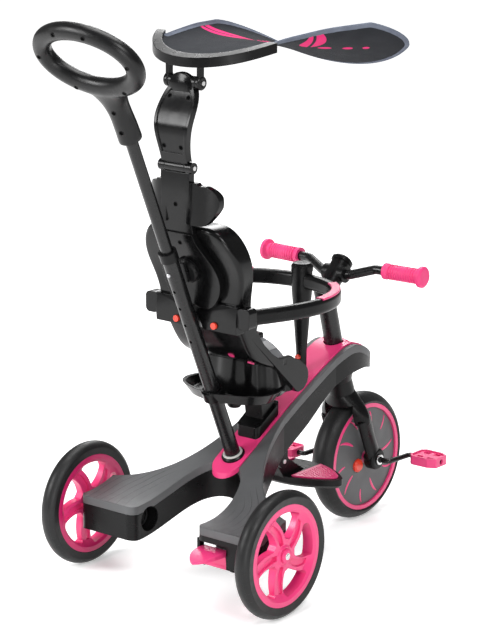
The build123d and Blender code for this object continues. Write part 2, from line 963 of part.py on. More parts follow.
def pole_button():
    """Release button that slides in its hole through the wall of the lower tube."""
    s = pole_collar_s - pole_button_below
    inner_end = pole_outer_radius - 1
    outer_end = pole_outer_radius + pole_button_proud
    pin = Rot(0, -90, 0) * turned(
        [
            (0, inner_end),
            (pole_button_radius, inner_end),
            (pole_button_radius, outer_end - 1.5),
            (pole_button_radius - 1.5, outer_end),
            (0, outer_end),
        ]
    )
    return pole.location * Pos(0, 0, s) * pin


def handle_plane():
    """Middle of the loop, set from the top of the pole's upper tube."""
    tilt = math.radians(handle_tilt)
    top_s = pole_collar_s - pole_overlap + pole_upper_length
    middle = pole.origin + pole.z_dir * (top_s + handle_rise) - pole.x_dir * handle_set_back
    return Plane(origin=middle, x_dir=(0, 1, 0), z_dir=(math.cos(tilt), 0, math.sin(tilt)))


def handle_body():
    """Oval loop with a flared neck that runs down into a round socket on the pole."""
    ring = Ellipse(handle_half_width, handle_half_height) - Ellipse(
        handle_half_width - handle_tube, handle_half_height - handle_tube
    )
    loop = extrude(ring, handle_half_depth, both=True)
    loop = fillet(loop.edges(), handle_edge_radius)
    loop = handle_plane().location * loop
    socket_foot = pole_collar_s - pole_overlap + pole_upper_length - 46
    neck = loft(
        [
            Pos(0, 0, socket_foot) * Circle(handle_socket_radius),
            Pos(0, 0, socket_foot + handle_socket_length * 0.45) * Circle(handle_socket_radius + 2),
            Pos(0, 0, socket_foot + handle_socket_length) * Ellipse(handle_half_depth, 52),
        ]
    )
    body = loop + pole.location * neck
    bore_length = 46.0
    bore = Pos(0, 0, socket_foot + bore_length / 2) * Cylinder(pole_inner_radius, bore_length)
    return body - pole.location * bore


def handle_half(forward):
    """The handle is moulded as a front and a rear shell that meet on a flat joint face."""
    lean = handle_plane()
    half_space = lean.location * Pos(0, 0, 200 if forward else -200) * Box(600, 600, 400)
    return handle_body() & half_space


# Seat: pedestal, tray, drum, shell, pad
def pedestal():
    """Clamp foot along the spine with a neck that carries the tray."""
    low = frame_top_curve(spine_cover_proud)
    foot = side_prism(between(low, frame_top_curve(pedestal_foot_height)), pedestal_half_width)
    length = pedestal_foot_front_x - pedestal_foot_rear_x
    middle_x = (pedestal_foot_front_x + pedestal_foot_rear_x) / 2
    plan = Pos(middle_x, 0) * RectangleRounded(length, 2 * pedestal_half_width, pedestal_corner_radius)
    foot = foot & plan_prism(plan, 0, tray_z)
    neck_face = make_face(
        Polyline(
            (middle_x - 20, tray_z),
            (middle_x - 8, tray_z - 80),
            (middle_x + 26, tray_z - 60),
            (middle_x + 20, tray_z),
            close=True,
        )
    )
    neck = side_prism(neck_face, pedestal_half_width - pedestal_neck_inset)
    body = neck + foot
    return body - side_prism(between(frame_bottom_curve(), low), frame_reach)


def seat_knob():
    """Round knob under the tray that locks the seat."""
    knob = turned(
        [
            (0, 0),
            (knob_radius * 0.6, 0),
            (knob_radius * 0.6, -knob_drop * 0.4),
            (knob_radius, -knob_drop * 0.5),
            (knob_radius, -knob_drop * 0.85),
            (knob_radius * 0.8, -knob_drop),
            (0, -knob_drop),
        ]
    )
    return Pos(knob_x, 0, tray_z) * knob


def tray_outline(inset=0.0):
    """Plan of the tray: a tongue round the pole, broad corners and a narrower front."""
    scale = 1 - inset / tray_half_width
    half = [
        (tray_rear_x, 0),
        (tray_rear_x + 10, tray_half_width * 0.36),
        (tray_rear_x + 32, tray_half_width * 0.82),
        (tray_rear_x + 64, tray_half_width),
        (tray_rear_x + 110, tray_half_width * 0.88),
        (tray_front_x - 24, tray_half_width * 0.5),
        (tray_front_x, 0),
    ]
    left = [(tray_middle_x + (x - tray_middle_x) * scale, y * scale) for x, y in half]
    right = [(x, -y) for x, y in reversed(left[1:-1])]
    return make_face(Spline(*left, *right, periodic=True))


def seat_tray():
    """Dished tray with a sloping wall and a ringed hole for the pole."""
    top = tray_z + tray_thickness
    body = loft([Pos(0, 0, tray_z) * tray_outline(tray_draft), Pos(0, 0, top) * tray_outline()])
    floor_face = Pos(0, 0, tray_z + tray_floor) * tray_outline(tray_draft + tray_wall)
    dish = loft([floor_face, Pos(0, 0, top + 1) * tray_outline(tray_wall)])
    collar_s = (top - pole_base_z) / math.cos(math.radians(pole_lean))
    collar = pole.location * Pos(0, 0, collar_s - 6) * Cylinder(pole_outer_radius + 6, 18)
    hole = pole.location * Pos(0, 0, collar_s) * Cylinder(pole_outer_radius + pad_gap, 90)
    return body - dish + collar - hole


def drum_outline(scale):
    """Squarish oval with soft upright flutes."""
    points = []
    for count in range(drum_points):
        angle = 2 * math.pi * count / drum_points
        reach = scale * (1 - drum_flute_depth * math.cos(drum_flutes * angle))
        power = 2 / drum_squareness
        x = math.copysign(abs(math.cos(angle)) ** power, math.cos(angle))
        y = math.copysign(abs(math.sin(angle)) ** power, math.sin(angle))
        points.append((drum_x + drum_half_length * reach * x, drum_half_width * reach * y))
    return make_face(Spline(*points, periodic=True))


def seat_drum():
    """Fluted bowl that stands in the tray and fills the space under the shell."""
    foot = Pos(0, 0, tray_z + tray_floor) * drum_outline(1)
    top = Pos(0, 0, drum_top_z) * drum_outline(drum_top_scale)
    bowl = loft([foot, top]) & side_prism(under_shell_face(), seat_reach)
    bowl = bowl - both_sides(side_rim()) - seat_tray()
    return max(bowl.solids(), key=lambda solid: solid.volume)


def shell_side_curve(inset=0.0):
    """Rear and underside of the bucket, from the top of the back to the front lip."""
    return Spline(
        (-2 + inset, shell_top_z + 30),
        (24 + inset, 612),
        (46 + inset, 556),
        (52 + inset * 1.02, 508),
        (74 + inset, 455 + inset * 0.4),
        (104 + inset * 0.7, 416 + inset * 0.7),
        (145, 396 + inset),
        (192, 379 + inset),
        (250, 350 + inset),
    )


def shell_side_face(inset=0.0):
    """Side view of the bucket: the curve above, closed along the sloping side edge."""
    curve = shell_side_curve(inset)
    lip = (254, 362 + inset)
    edge_low = (196, 398)
    edge_high = (88, 500)
    crown = (flank_depth, shell_top_z + 30)
    return make_face(
        [
            curve,
            Line(curve @ 1, lip),
            Line(lip, edge_low),
            Line(edge_low, edge_high),
            Line(edge_high, crown),
            Line(crown, curve @ 0),
        ]
    )


def shell_front_face(inset=0.0):
    """Front view of the bucket, drawn as (y, z)."""
    half = shell_half_width - inset
    foot = 330
    top = shell_top_z - inset
    right = Spline(
        (78 - inset, foot),
        (84 - inset, 400),
        (half - 20, 480),
        (half - 14, 530),
        (half, 604),
        (half - 26, top - 12),
        (half - 62, top),
    )
    top_line = Line((half - 62, top), (0, top))
    axis_line = Line((0, top), (0, foot))
    base = Line((0, foot), (78 - inset, foot))
    side = make_face([right, top_line, axis_line, base])
    return side + mirror(side, about=Plane.YZ)


def front_prism(face, x_from, x_to):
    """A front-view face, drawn as (y, z), swept along X."""
    return extrude(Plane.YZ.offset(x_from) * face, x_to - x_from, dir=(1, 0, 0))


def shell_outer(inset=0.0):
    return side_prism(shell_side_face(inset), seat_reach) & front_prism(shell_front_face(), -60, 300)


def side_rim():
    """Broad rim along the side of the bucket, sloping down to a round front end."""
    start = (hoop_rear_x - 4, rim_start_z)
    low = (rim_low_x, rim_low_z)
    tip = (rim_tip_x, rim_low_z + 22)
    top = (rim_tip_x - 10, rim_low_z + 47)
    back = (hoop_rear_x + 20, rim_start_z + 18)
    face = make_face([Line(start, low), ThreePointArc(low, tip, top), Line(top, back), Line(back, start)])
    return side_band(face, rim_inner_y, rim_outer_y)


def seat_shell():
    outer = shell_outer()
    rear_face = max(outer.faces(), key=lambda face: face.area)
    outer = fillet(rear_face.edges(), shell_edge_radius)
    cavity = side_prism(shell_cavity_face(shell_wall), seat_reach)
    hollow = cavity & front_prism(shell_front_face(shell_wall), -60, 320)
    shell = outer - hollow
    socket = Pos(hoop_rear_x - 11, hoop_rear_y, hoop_z) * Box(22, 28, 38)
    socket = fillet(socket.edges().filter_by(Axis.X), 9)
    shell = shell + shell_band() + both_sides(socket - hollow) + both_sides(side_rim() - hollow)
    hump = Pos(pommel_x, 0, pommel_z) * Sphere(pommel_radius)
    hump = hump & side_prism(shell_cavity_face(shell_wall / 2), seat_reach)
    shell = shell + hump
    for plug in harness_plugs():
        shell = shell - plug
    for side in (-1, 1):
        shell = shell - hoop_button_blank(side, body_gap, button_travel)
    return shell - pole_channel() - safety_hoop()


def shell_band():
    """Raised band across the rear of the bucket, between the two hoop sockets."""
    return side_prism(hoop_socket_face(), band_half_width) - side_prism(shell_cavity_face(0), seat_reach)


def pole_channel():
    """Hollow behind the bucket that leaves room for the pole."""
    length = pole_collar_s
    return pole.location * Pos(0, 0, length / 2) * Cylinder(pole_outer_radius + pole_room, length)


def under_shell_face():
    """Side view of the space below the bucket."""
    curve = shell_side_curve()
    return make_face([curve, Polyline(curve @ 1, (250, tray_z), (-2, tray_z), curve @ 0)])


def shell_cavity_face(inset):
    """The hollow of the bucket in side view, open to the front and above."""
    curve = shell_side_curve(inset)
    return make_face(
        [
            curve,
            Polyline(curve @ 1, (330, 372), (330, shell_top_z + 60), (0, shell_top_z + 60), curve @ 0),
        ]
    )


def hoop_socket_face():
    """Band across the rear of the bucket that takes the two ends of the hoop."""
    return make_face(
        Polyline(
            (band_rear_x + 4, hoop_z + 20),
            (band_rear_x, hoop_z - 4),
            (band_rear_x + 2, hoop_z - 30),
            (band_rear_x + 30, hoop_z - 30),
            (band_rear_x + 30, hoop_z + 20),
            close=True,
        )
    )


def pad_layer(near, far):
    """Side view of a layer that follows the inside of the bucket."""
    inner = shell_side_curve(near)
    crown = shell_side_curve(far)
    return make_face([inner, crown, Line(inner @ 0, crown @ 0), Line(inner @ 1, crown @ 1)])


def seat_pad():
    """Padded liner on the seat and back, with drawn-in sides and sewn channels."""
    top = shell_wall + seat_pad_thickness
    core = side_prism(pad_layer(shell_wall + pad_gap, top), seat_reach)
    pad = core & front_prism(shell_front_face(shell_wall + 12), -60, 236)
    base = side_prism(pad_layer(shell_wall + pad_gap, top - 6), seat_reach)
    pad = pad + (base & front_prism(shell_front_face(shell_wall + 6), -60, 238))
    outer_layer = side_prism(pad_layer(top - 4, top + 5), seat_reach)
    for height in (455, 515, 575, 630):
        pad = pad - (outer_layer & Pos(60, 0, height) * Rot(0, 22, 0) * Box(150, 300, 4))
    for x in (150, 195):
        pad = pad - (outer_layer & Pos(x, 0, 400) * Box(4, 300, 80))
    return pad - Pos(pommel_x, 0, pommel_z) * Sphere(pommel_radius + pad_gap)


def harness_plugs():
    """Square anchors of the belt, set through the wall of the bucket."""
    wall = side_prism(pad_layer(-plug_proud, shell_wall), seat_reach)
    rear = Pos(100, 34, 420) * Rot(0, 40, 0) * Box(plug_size, plug_size, 40) & wall
    flank = Pos(122, 62, 408) * Rot(0, 30, 0) * Box(plug_size, plug_size, 40) & wall
    side = Pos(belt_x, belt_end_y + 4, belt_z) * Box(plug_size, 8, plug_size)
    plugs = []
    for plug in (rear, flank, side):
        plugs.append(plug)
        plugs.append(mirror(plug, about=Plane.XZ))
    return plugs


def lap_belt():
    """Webbing that arches over the pad from one side of the bucket to the other."""
    upper = ThreePointArc((-belt_end_y, belt_z), (0, belt_z + belt_arch), (belt_end_y, belt_z))
    under = ThreePointArc(
        (-belt_end_y, belt_z - belt_thickness),
        (0, belt_z + belt_arch - belt_thickness),
        (belt_end_y, belt_z - belt_thickness),
    )
    band = make_face([upper, under, Line(upper @ 0, under @ 0), Line(upper @ 1, under @ 1)])
    strap = front_prism(band, belt_x - belt_width / 2, belt_x + belt_width / 2)
    return strap - buckle_block()


def buckle_block():
    block = Pos(belt_x, 0, belt_z + belt_arch - 1) * Box(belt_width + 8, buckle_length, 13)
    return fillet(block.edges(), 4)


# Backrest plate, dial and headrest
def shell_line(z):
    """Rear face of the bucket's back, near the dial, as x at a height."""
    slope = (24 - 46) / (612 - 556)
    return 46 + slope * (z - 556)


def dial_plane():
    lean = math.atan((46 - 24) / (612 - 556))
    return Plane(
        origin=(shell_line(dial_z) - plate_thickness, 0, dial_z),
        x_dir=(0, 1, 0),
        z_dir=(-math.cos(lean), 0, -math.sin(lean)),
    )


def back_plate():
    """Shield-shaped plate behind the back, with a round seat for the dial."""
    right = Spline(
        (0, plate_bottom_z),
        (plate_half_width * 0.75, plate_bottom_z + 3),
        (plate_half_width, plate_bottom_z + 26),
        (plate_half_width - 2, dial_z + 14),
        (strip_half_width + 7, plate_top_z - 22),
        (strip_half_width, plate_top_z),
    )
    half = make_face(
        [
            right,
            Line(right @ 1, (0, plate_top_z)),
            Line((0, plate_top_z), (0, plate_bottom_z)),
        ]
    )
    shield = half + mirror(half, about=Plane.YZ)
    layer = side_prism(pad_layer(-plate_thickness, 0), seat_reach)
    plate = layer & front_prism(shield, -120, 120)
    seat = dial_plane().location * Pos(0, 0, 2) * Cylinder(dial_radius + body_gap, 11)
    stud = dial_plane().location * Pos(0, 0, 0) * Cylinder(5, 8)
    return plate - seat + stud - shell_band()


def seat_dial():
    """Round knob with a finger bar and a scalloped edge."""
    knob = turned(
        [
            (5 + running_clearance, -3),
            (dial_radius, -3),
            (dial_radius, dial_height - 3),
            (dial_radius - 4, dial_height),
            (5 + running_clearance, dial_height),
        ]
    )
    for count in range(12):
        angle = math.radians(30 * count)
        place = Pos((dial_radius + 2) * math.cos(angle), (dial_radius + 2) * math.sin(angle), dial_height)
        knob = knob - place * Cylinder(4, dial_height)
    bar = Pos(0, 0, dial_height + 1) * Box(9, dial_radius * 1.6, 6)
    knob = knob + (bar & Pos(0, 0, dial_height) * Cylinder(dial_radius - 2, 20))
    return dial_plane().location * knob


def strip_curve(offset_x):
    return Spline((-4 + offset_x, plate_top_z), (-12 + offset_x, 702), (-14 + offset_x, mid_hinge_z - 8))


def mid_hinge_cylinder(radius, half_length):
    """Cylinder on the axis of the hinge between the headrest and the canopy arm."""
    return cross_cylinder(mid_hinge_x, mid_hinge_z, radius, -half_length, half_length)


def headrest():
    """Upright strip with two forward-curving wings and the outer knuckles of the arm hinge."""
    rear = strip_curve(0)
    fore = strip_curve(strip_thickness)
    face = make_face([rear, fore, Line(rear @ 0, fore @ 0), Line(rear @ 1, fore @ 1)])
    strip = side_prism(face, strip_half_width)
    outer_arc = ThreePointArc((-12, 22), (-6, wing_reach * 0.66), (wing_forward, wing_reach + 4))
    inner_arc = ThreePointArc((0, 22), (4, wing_reach * 0.62), (wing_forward + 3, wing_reach - 4))
    wing_plan = make_face(
        [outer_arc, inner_arc, Line(outer_arc @ 0, inner_arc @ 0), Line(outer_arc @ 1, inner_arc @ 1)]
    )
    wing = plan_prism(wing_plan, shell_top_z + 5, wing_top_z)
    wing_view = Pos(wing_reach / 2 + 2, (shell_top_z + 5 + wing_top_z) / 2) * Ellipse(
        wing_reach / 2 + 6, (wing_top_z - shell_top_z) / 2
    )
    wing = wing & front_prism(wing_view, -60, seat_reach)
    body = strip + both_sides(wing)
    body = body + mid_hinge_cylinder(mid_hinge_radius, mid_hinge_half)
    body = body - mid_hinge_cylinder(mid_hinge_radius + 1, mid_knuckle_half + pad_gap)
    body = body - mid_hinge_cylinder(hinge_pin_radius, pin_reach)
    return body - shell_outer()


def hinge_pins():
    """Pins that stay with the frame: canopy arm, brake lever and footrest."""
    arm_pin = mid_hinge_cylinder(hinge_pin_radius, mid_hinge_half + 2)
    lever_pin = brake_pivot_cylinder(hinge_pin_radius, cheek_outer)
    rest_pin = footrest_pivot_cylinder(hinge_pin_radius, rest_cheek_outer + 2)
    return [arm_pin, lever_pin, rest_pin]


# Canopy arm and canopy
def arm_curve(offset_x):
    """Side line of the canopy arm: it bows to the rear between its hinges."""
    return Spline(
        (mid_hinge_x - 8 + offset_x, mid_hinge_z + 8),
        (mid_hinge_x - 16 + offset_x, mid_hinge_z + 40),
        (mid_hinge_x - 18 + offset_x, mid_hinge_z + 72),
        (top_hinge_x - 22 + offset_x, top_hinge_z - 34),
        (top_hinge_x - 7 + offset_x, top_hinge_z + 4),
    )


def arm_layer(near, far):
    """Side view of a layer of the arm."""
    rear = arm_curve(near)
    fore = arm_curve(far)
    return make_face([rear, fore, Line(rear @ 0, fore @ 0), Line(rear @ 1, fore @ 1)])


def arm_outline(inset=0.0):
    """Rear view of the arm, as (y, z): a waist above the barrel, broad shoulders, a rounded top."""
    right = Spline(
        (arm_waist_half - inset, mid_hinge_z + inset),
        (arm_waist_half + 1 - inset, mid_hinge_z + 32),
        (arm_shoulder_half - 1 - inset, mid_hinge_z + 80),
        (arm_shoulder_half - 2 - inset, top_hinge_z - 34),
        (arm_half_width - 6 - inset, top_hinge_z - 4 - inset),
        (0, top_hinge_z + 6 - inset),
    )
    half = make_face(
        [right, Line(right @ 1, (0, mid_hinge_z + inset)), Line((0, mid_hinge_z + inset), right @ 0)]
    )
    return half + mirror(half, about=Plane.YZ)


def top_hinge_cylinder(radius, half_length):
    """Cylinder on the axis of the hinge between the arm and the canopy."""
    return cross_cylinder(top_hinge_x, top_hinge_z, radius, -half_length, half_length)


def canopy_arm():
    """Curved arm between the two canopy hinges, with a raised border on its rear face."""
    body = side_prism(arm_layer(0, arm_thickness), seat_reach) & front_prism(arm_outline(), -100, 100)
    panel = side_prism(arm_layer(-3, 2), seat_reach) & front_prism(arm_outline(6), -100, 100)
    body = body - (panel & Pos(0, 0, mid_hinge_z + 90) * Box(200, 200, 130))
    clear = mid_knuckle_half - pad_gap
    far = mid_hinge_half + 14
    outer_knuckle = cross_cylinder(mid_hinge_x, mid_hinge_z, mid_hinge_radius + 1, clear, far)
    body = body - both_sides(outer_knuckle)
    body = body + mid_hinge_cylinder(mid_hinge_radius, mid_knuckle_half)
    body = body + top_hinge_cylinder(top_hinge_radius, arm_half_width)
    body = body - mid_hinge_cylinder(hinge_pin_radius + running_clearance, pin_reach)
    return body - top_hinge_cylinder(hinge_pin_radius, pin_reach)


def canopy_pin():
    reach = arm_half_width + body_gap + link_thickness + 3
    return top_hinge_cylinder(hinge_pin_radius, reach)


def canopy_arch(lift=0.0):
    """Fore-and-aft rise of the canopy's rear bow."""
    return Spline(
        (canopy_rear_x - 10, canopy_rear_z - 2 + lift),
        (canopy_rear_x + 25, canopy_rear_z + 8 + lift),
        (canopy_shoulder_x, canopy_shoulder_z + lift),
        (canopy_shoulder_x + 60, canopy_shoulder_z + 8 + lift),
    )


def canopy_rear_edge(across):
    """Point on the round rear edge, just inside the bow; across runs from -1 to 1, right to left."""
    centre_x = canopy_rear_x + canopy_rear_radius
    radius = canopy_rear_radius - rim_width * 2 / 3 - pad_gap
    turn = across * math.acos((centre_x - canopy_shoulder_x) / radius)
    x = centre_x - radius * math.cos(turn)
    share = (x - canopy_rear_x) / (canopy_shoulder_x - canopy_rear_x)
    z = canopy_rear_z + (canopy_shoulder_z - canopy_rear_z) * share
    return Vector(x, radius * math.sin(turn), z)


def canopy_front_edge(across):
    """Point on the front edge, which bows forward and droops in the middle."""
    inward = 1 - across * across
    x = canopy_corner_x + (canopy_front_x - canopy_corner_x) * inward**canopy_front_bow
    z = canopy_corner_z + (canopy_front_z - canopy_corner_z) * inward**canopy_front_drop
    return Vector(x, canopy_corner_y * across, z)


def canopy_side_edge(along):
    """Point on the left side edge, which is drawn in between the shoulder and the corner."""
    shoulder = canopy_rear_edge(1)
    corner = canopy_front_edge(1)
    waist = Vector((shoulder.X + corner.X) / 2, canopy_waist_y, canopy_waist_z)
    rest = 1 - along
    return shoulder * rest**2 + waist * (2 * along * rest) + corner * along**2


def canopy_point(along, across):
    """Blend of the four edges, with the cloth lifted in the middle."""
    left = canopy_side_edge(along)
    right = Vector(left.X, -left.Y, left.Z)
    share = (across + 1) / 2
    ends = canopy_rear_edge(across) * (1 - along) + canopy_front_edge(across) * along
    sides = right * (1 - share) + left * share
    rear_chord = canopy_rear_edge(-1) * (1 - share) + canopy_rear_edge(1) * share
    front_chord = canopy_front_edge(-1) * (1 - share) + canopy_front_edge(1) * share
    flat = ends + sides - (rear_chord * (1 - along) + front_chord * along)
    return flat + Vector(0, 0, canopy_crown * math.sin(math.pi * along) * (1 - across * across))


def canopy_corner_cut():
    """What is cut from the left front corner to leave it round, in plan."""
    corner = canopy_front_edge(1)
    tip = Vector(corner.X, corner.Y, 0)
    back = canopy_side_edge(0.85)
    inward = canopy_front_edge(0.85)
    to_side = (Vector(back.X, back.Y, 0) - tip).normalized()
    to_front = (Vector(inward.X, inward.Y, 0) - tip).normalized()
    half_angle = math.radians(to_side.get_angle(to_front)) / 2
    run = canopy_corner_radius / math.tan(half_angle)
    bisector = (to_side + to_front).normalized()
    centre = tip + bisector * (canopy_corner_radius / math.sin(half_angle))
    beyond = tip - bisector * canopy_corner_radius
    kite = make_face(Polyline(tip + to_side * run, beyond, tip + to_front * run, centre, close=True))
    return kite - Pos(centre.X, centre.Y) * Circle(canopy_corner_radius)


def canopy_sheet():
    """Cloth stretched between the rear bow, two drawn-in sides and the drooping front edge."""
    grid = []
    for row in range(canopy_rows + 1):
        line = []
        for column in range(canopy_columns + 1):
            across = math.sin(math.pi * (column / canopy_columns - 0.5))
            line.append(canopy_point(row / canopy_rows, across))
        grid.append(line)
    sheet = thicken(Face.make_surface_from_array_of_points(grid), canopy_thickness, both=False)
    cut = plan_prism(canopy_corner_cut(), canopy_front_z - 50, canopy_corner_z + 50)
    return sheet - both_sides(cut)


def rim_space():
    """Upright ring sector that the stiff rear bow takes up, over its whole height range."""
    centre_x = canopy_rear_x + canopy_rear_radius
    ring = Circle(canopy_rear_radius + rim_width / 3) - Circle(canopy_rear_radius - rim_width * 2 / 3)
    span = 2 * (canopy_rear_radius + rim_width)
    rear_part = Pos(canopy_shoulder_x + rim_end - span / 2, 0) * Rectangle(span, span)
    plan = (Pos(centre_x, 0) * ring) & rear_part
    return plan_prism(plan, canopy_rear_z - span, canopy_rear_z + span)


def canopy_rim():
    """Stiff bow at the rear of the canopy, with two links down to the arm's pin."""
    low = canopy_arch(-rim_height * 0.6)
    high = canopy_arch(rim_height * 0.4)
    bow = rim_space() & side_prism(between(low, high), frame_reach)
    near = arm_half_width + body_gap
    post = Pos(top_hinge_x, top_hinge_z + 20) * Rectangle(link_neck, 40)
    foot = Pos(top_hinge_x, top_hinge_z + 34) * Rectangle(link_neck * 2, 14)
    link_face = Pos(top_hinge_x, top_hinge_z) * Circle(top_hinge_radius) + post + foot
    link = side_band(link_face, near, near + link_thickness)
    link = link - side_prism(between(low, canopy_arch(80)), frame_reach)
    rim = bow + both_sides(link)
    return rim - top_hinge_cylinder(hinge_pin_radius + running_clearance, pin_reach)


# Safety hoop, pads, post and buttons
def hoop_path():
    """Oval line of the hoop, from its right socket round the front to its left one."""
    right = [
        (hoop_rear_x, -hoop_rear_y),
        (hoop_widest_x - 75, -hoop_half_width + 12),
        (hoop_widest_x, -hoop_half_width),
        (hoop_front_x - 47, -hoop_half_width * 0.79),
        (hoop_front_x - 12, -hoop_half_width * 0.44),
    ]
    left = [(x, -y) for x, y in reversed(right)]
    return Pos(0, 0, hoop_z) * Spline(*right, (hoop_front_x, 0), *left)


def hoop_section(path):
    start = Plane(origin=path @ 0, x_dir=(0, 0, 1), z_dir=path % 0)
    return start * RectangleRounded(hoop_half_height * 2, hoop_half_thickness * 2, hoop_edge_radius)


def safety_hoop():
    path = hoop_path()
    hoop = sweep(hoop_section(path), path)
    for side in (-1, 1):
        hoop = hoop - hoop_pad(side)
    return hoop


def hoop_pad(side):
    """Coloured pad let into the top of the hoop, along one of its front bends."""
    bend = hoop_path().trim(hoop_pad_start, hoop_pad_end)
    start = Plane(origin=bend @ 0, x_dir=(0, 0, 1), z_dir=bend % 0)
    middle = hoop_half_height + hoop_pad_proud - hoop_pad_depth / 2
    section = RectangleRounded(hoop_pad_depth, hoop_pad_half_width * 2, hoop_pad_depth * 0.375)
    pad = sweep(start * Pos(middle, 0) * section, bend)
    if side > 0:
        pad = mirror(pad, about=Plane.XZ)
    return pad


def hoop_post():
    """Round post that tapers down from the hoop to the spine."""
    top = hoop_z + hoop_half_height + 4
    post = Pos(post_x, 0, 0) * turned(
        [
            (0, post_button_z - 60),
            (post_foot_radius, post_button_z - 60),
            (post_foot_radius, post_button_z + 8),
            (post_top_radius - 2, hoop_z - 40),
            (post_top_radius, hoop_z - 18),
            (post_top_radius, top),
            (0, top),
        ]
    )
    post = post - safety_hoop() - post_button_blank(body_gap, button_travel)
    return post - side_prism(between(frame_bottom_curve(), frame_top_curve(spine_cover_proud)), frame_reach)


def post_cap():
    """Notched cap on the post."""
    base = hoop_z + hoop_half_height + 4
    cap = turned(
        [
            (0, 0),
            (post_top_radius + 1, 0),
            (post_top_radius + 1, post_cap_height - 6),
            (post_top_radius - 3, post_cap_height - 1),
            (post_top_radius - 8, post_cap_height),
            (0, post_cap_height),
        ]
    )
    for count in range(post_cap_notches):
        turn = Rot(0, 0, 360.0 / post_cap_notches * count)
        notch = Cylinder(post_cap_notch_radius, post_cap_height)
        cap = cap - turn * Pos(post_top_radius + 1.5, 0, post_cap_height) * notch
    return Pos(post_x, 0, base) * cap


def push_button(x_from, y, z, radius, depth):
    """A round button lying along X, from its pressed face inwards."""
    return Pos(x_from + depth / 2, y, z) * Rot(0, 90, 0) * Cylinder(radius, depth)


def post_button_blank(grow=0.0, deeper=0.0):
    face_x = post_x - post_foot_radius - button_proud
    return push_button(face_x, 0, post_button_z, button_radius - 1 + grow, button_depth + deeper)


def hoop_button_blank(side, grow=0.0, deeper=0.0):
    face_x = band_rear_x - button_proud
    y = side * hoop_button_y
    return push_button(face_x, y, hoop_button_z, button_radius + grow, button_depth + deeper)


# Brake lever and footrest
def brake_pivot_cylinder(radius, half_length):
    """Cylinder on the axis of the brake lever's pin."""
    near = brake_y - half_length
    return cross_cylinder(brake_pivot_x, brake_pivot_z, radius, near, brake_y + half_length)


def brake_lever():
    """Leaf-shaped foot paddle under the rear end of the right arm."""
    tip_x = brake_pivot_x - brake_reach
    root_x = brake_pivot_x - 4
    top_z = brake_pivot_z + brake_top_rise
    middle_x = (tip_x + root_x) / 2
    top = Bezier((tip_x - 2, top_z - brake_tip_drop), (middle_x, top_z + 3), (root_x, top_z))
    under = Bezier(
        (tip_x - 2, top_z - brake_tip_drop - brake_thickness / 2),
        (middle_x, top_z + 3 - brake_thickness),
        (root_x, top_z - brake_thickness),
    )
    face = make_face([top, under, Line(top @ 0, under @ 0), Line(top @ 1, under @ 1)])
    layer = side_band(face, brake_y - brake_half_width * 2, brake_y + brake_half_width * 2)
    edge = Bezier(
        (root_x, brake_half_width),
        (middle_x, brake_half_width * 1.06),
        (tip_x + 10, brake_half_width * 0.8),
        (tip_x, 0),
    )
    half = make_face([edge, Line((tip_x, 0), (root_x, 0)), Line((root_x, 0), edge @ 0)])
    leaf = Pos(0, brake_y) * (half + mirror(half, about=Plane.XZ))
    paddle = layer & plan_prism(leaf, 0, arm_top_z)
    reach = cheek_outer - cheek_thickness - body_gap
    neck_face = make_face(
        Polyline(
            (brake_pivot_x - 12, top_z - brake_thickness / 2),
            (root_x, top_z - brake_thickness / 2),
            (brake_pivot_x + 6, brake_pivot_z),
            (brake_pivot_x - 6, brake_pivot_z),
            close=True,
        )
    )
    neck = side_band(neck_face, brake_y - reach * 0.8, brake_y + reach * 0.8)
    body = paddle + neck + brake_pivot_cylinder(hinge_pin_radius + 3, reach)
    return body - brake_pivot_cylinder(hinge_pin_radius + running_clearance, pin_reach)


def footrest_pivot_cylinder(radius, half_length):
    """Cylinder on the axis of the footrest's pin."""
    return cross_cylinder(footrest_pivot_x, footrest_pivot_z, radius, -half_length, half_length)


def lever_brackets():
    """Cheeks under the arm and the spine that hold the lever's and the footrest's pins."""
    cheeks = []
    lever_height = lever_recess_top_z - brake_pivot_z
    post = Pos(brake_pivot_x - 10, brake_pivot_z + lever_height / 2) * Rectangle(12, lever_height)
    lever_cheek = Pos(brake_pivot_x, brake_pivot_z) * Circle(8) + post
    for side in (-1, 1):
        near = brake_y + side * (cheek_outer - cheek_thickness / 2)
        one = side_band(lever_cheek, near - cheek_thickness / 2, near + cheek_thickness / 2)
        one = one - brake_pivot_cylinder(hinge_pin_radius, pin_reach)
        cheeks.append(one)
    below_frame = side_prism(between(frame_bottom_curve(), frame_top_curve()), frame_reach)
    rest_cheek = Pos(footrest_pivot_x, footrest_pivot_z) * Circle(13) + Pos(
        footrest_pivot_x - 2, footrest_pivot_z + 25
    ) * Rectangle(26, 50)
    for side in (-1, 1):
        one = side_band(rest_cheek, rest_cheek_inner, rest_cheek_outer)
        one = one if side > 0 else mirror(one, about=Plane.XZ)
        one = one - below_frame
        one = one - footrest_pivot_cylinder(hinge_pin_radius, pin_reach)
        cheeks.append(one)
    return cheeks


def footrest_leaf(inset=0.0):
    """Leaf-shaped plan of the footrest, pointed to both sides."""
    half = footrest_half_width - inset * 2
    front = footrest_middle_x + footrest_half_length - inset
    rear = footrest_middle_x - footrest_half_length + inset
    fore = ThreePointArc((footrest_middle_x, half), (front, 0), (footrest_middle_x, -half))
    aft = ThreePointArc((footrest_middle_x, half), (rear, 0), (footrest_middle_x, -half))
    leaf = make_face([fore, aft])
    return fillet(leaf.vertices(), 12)


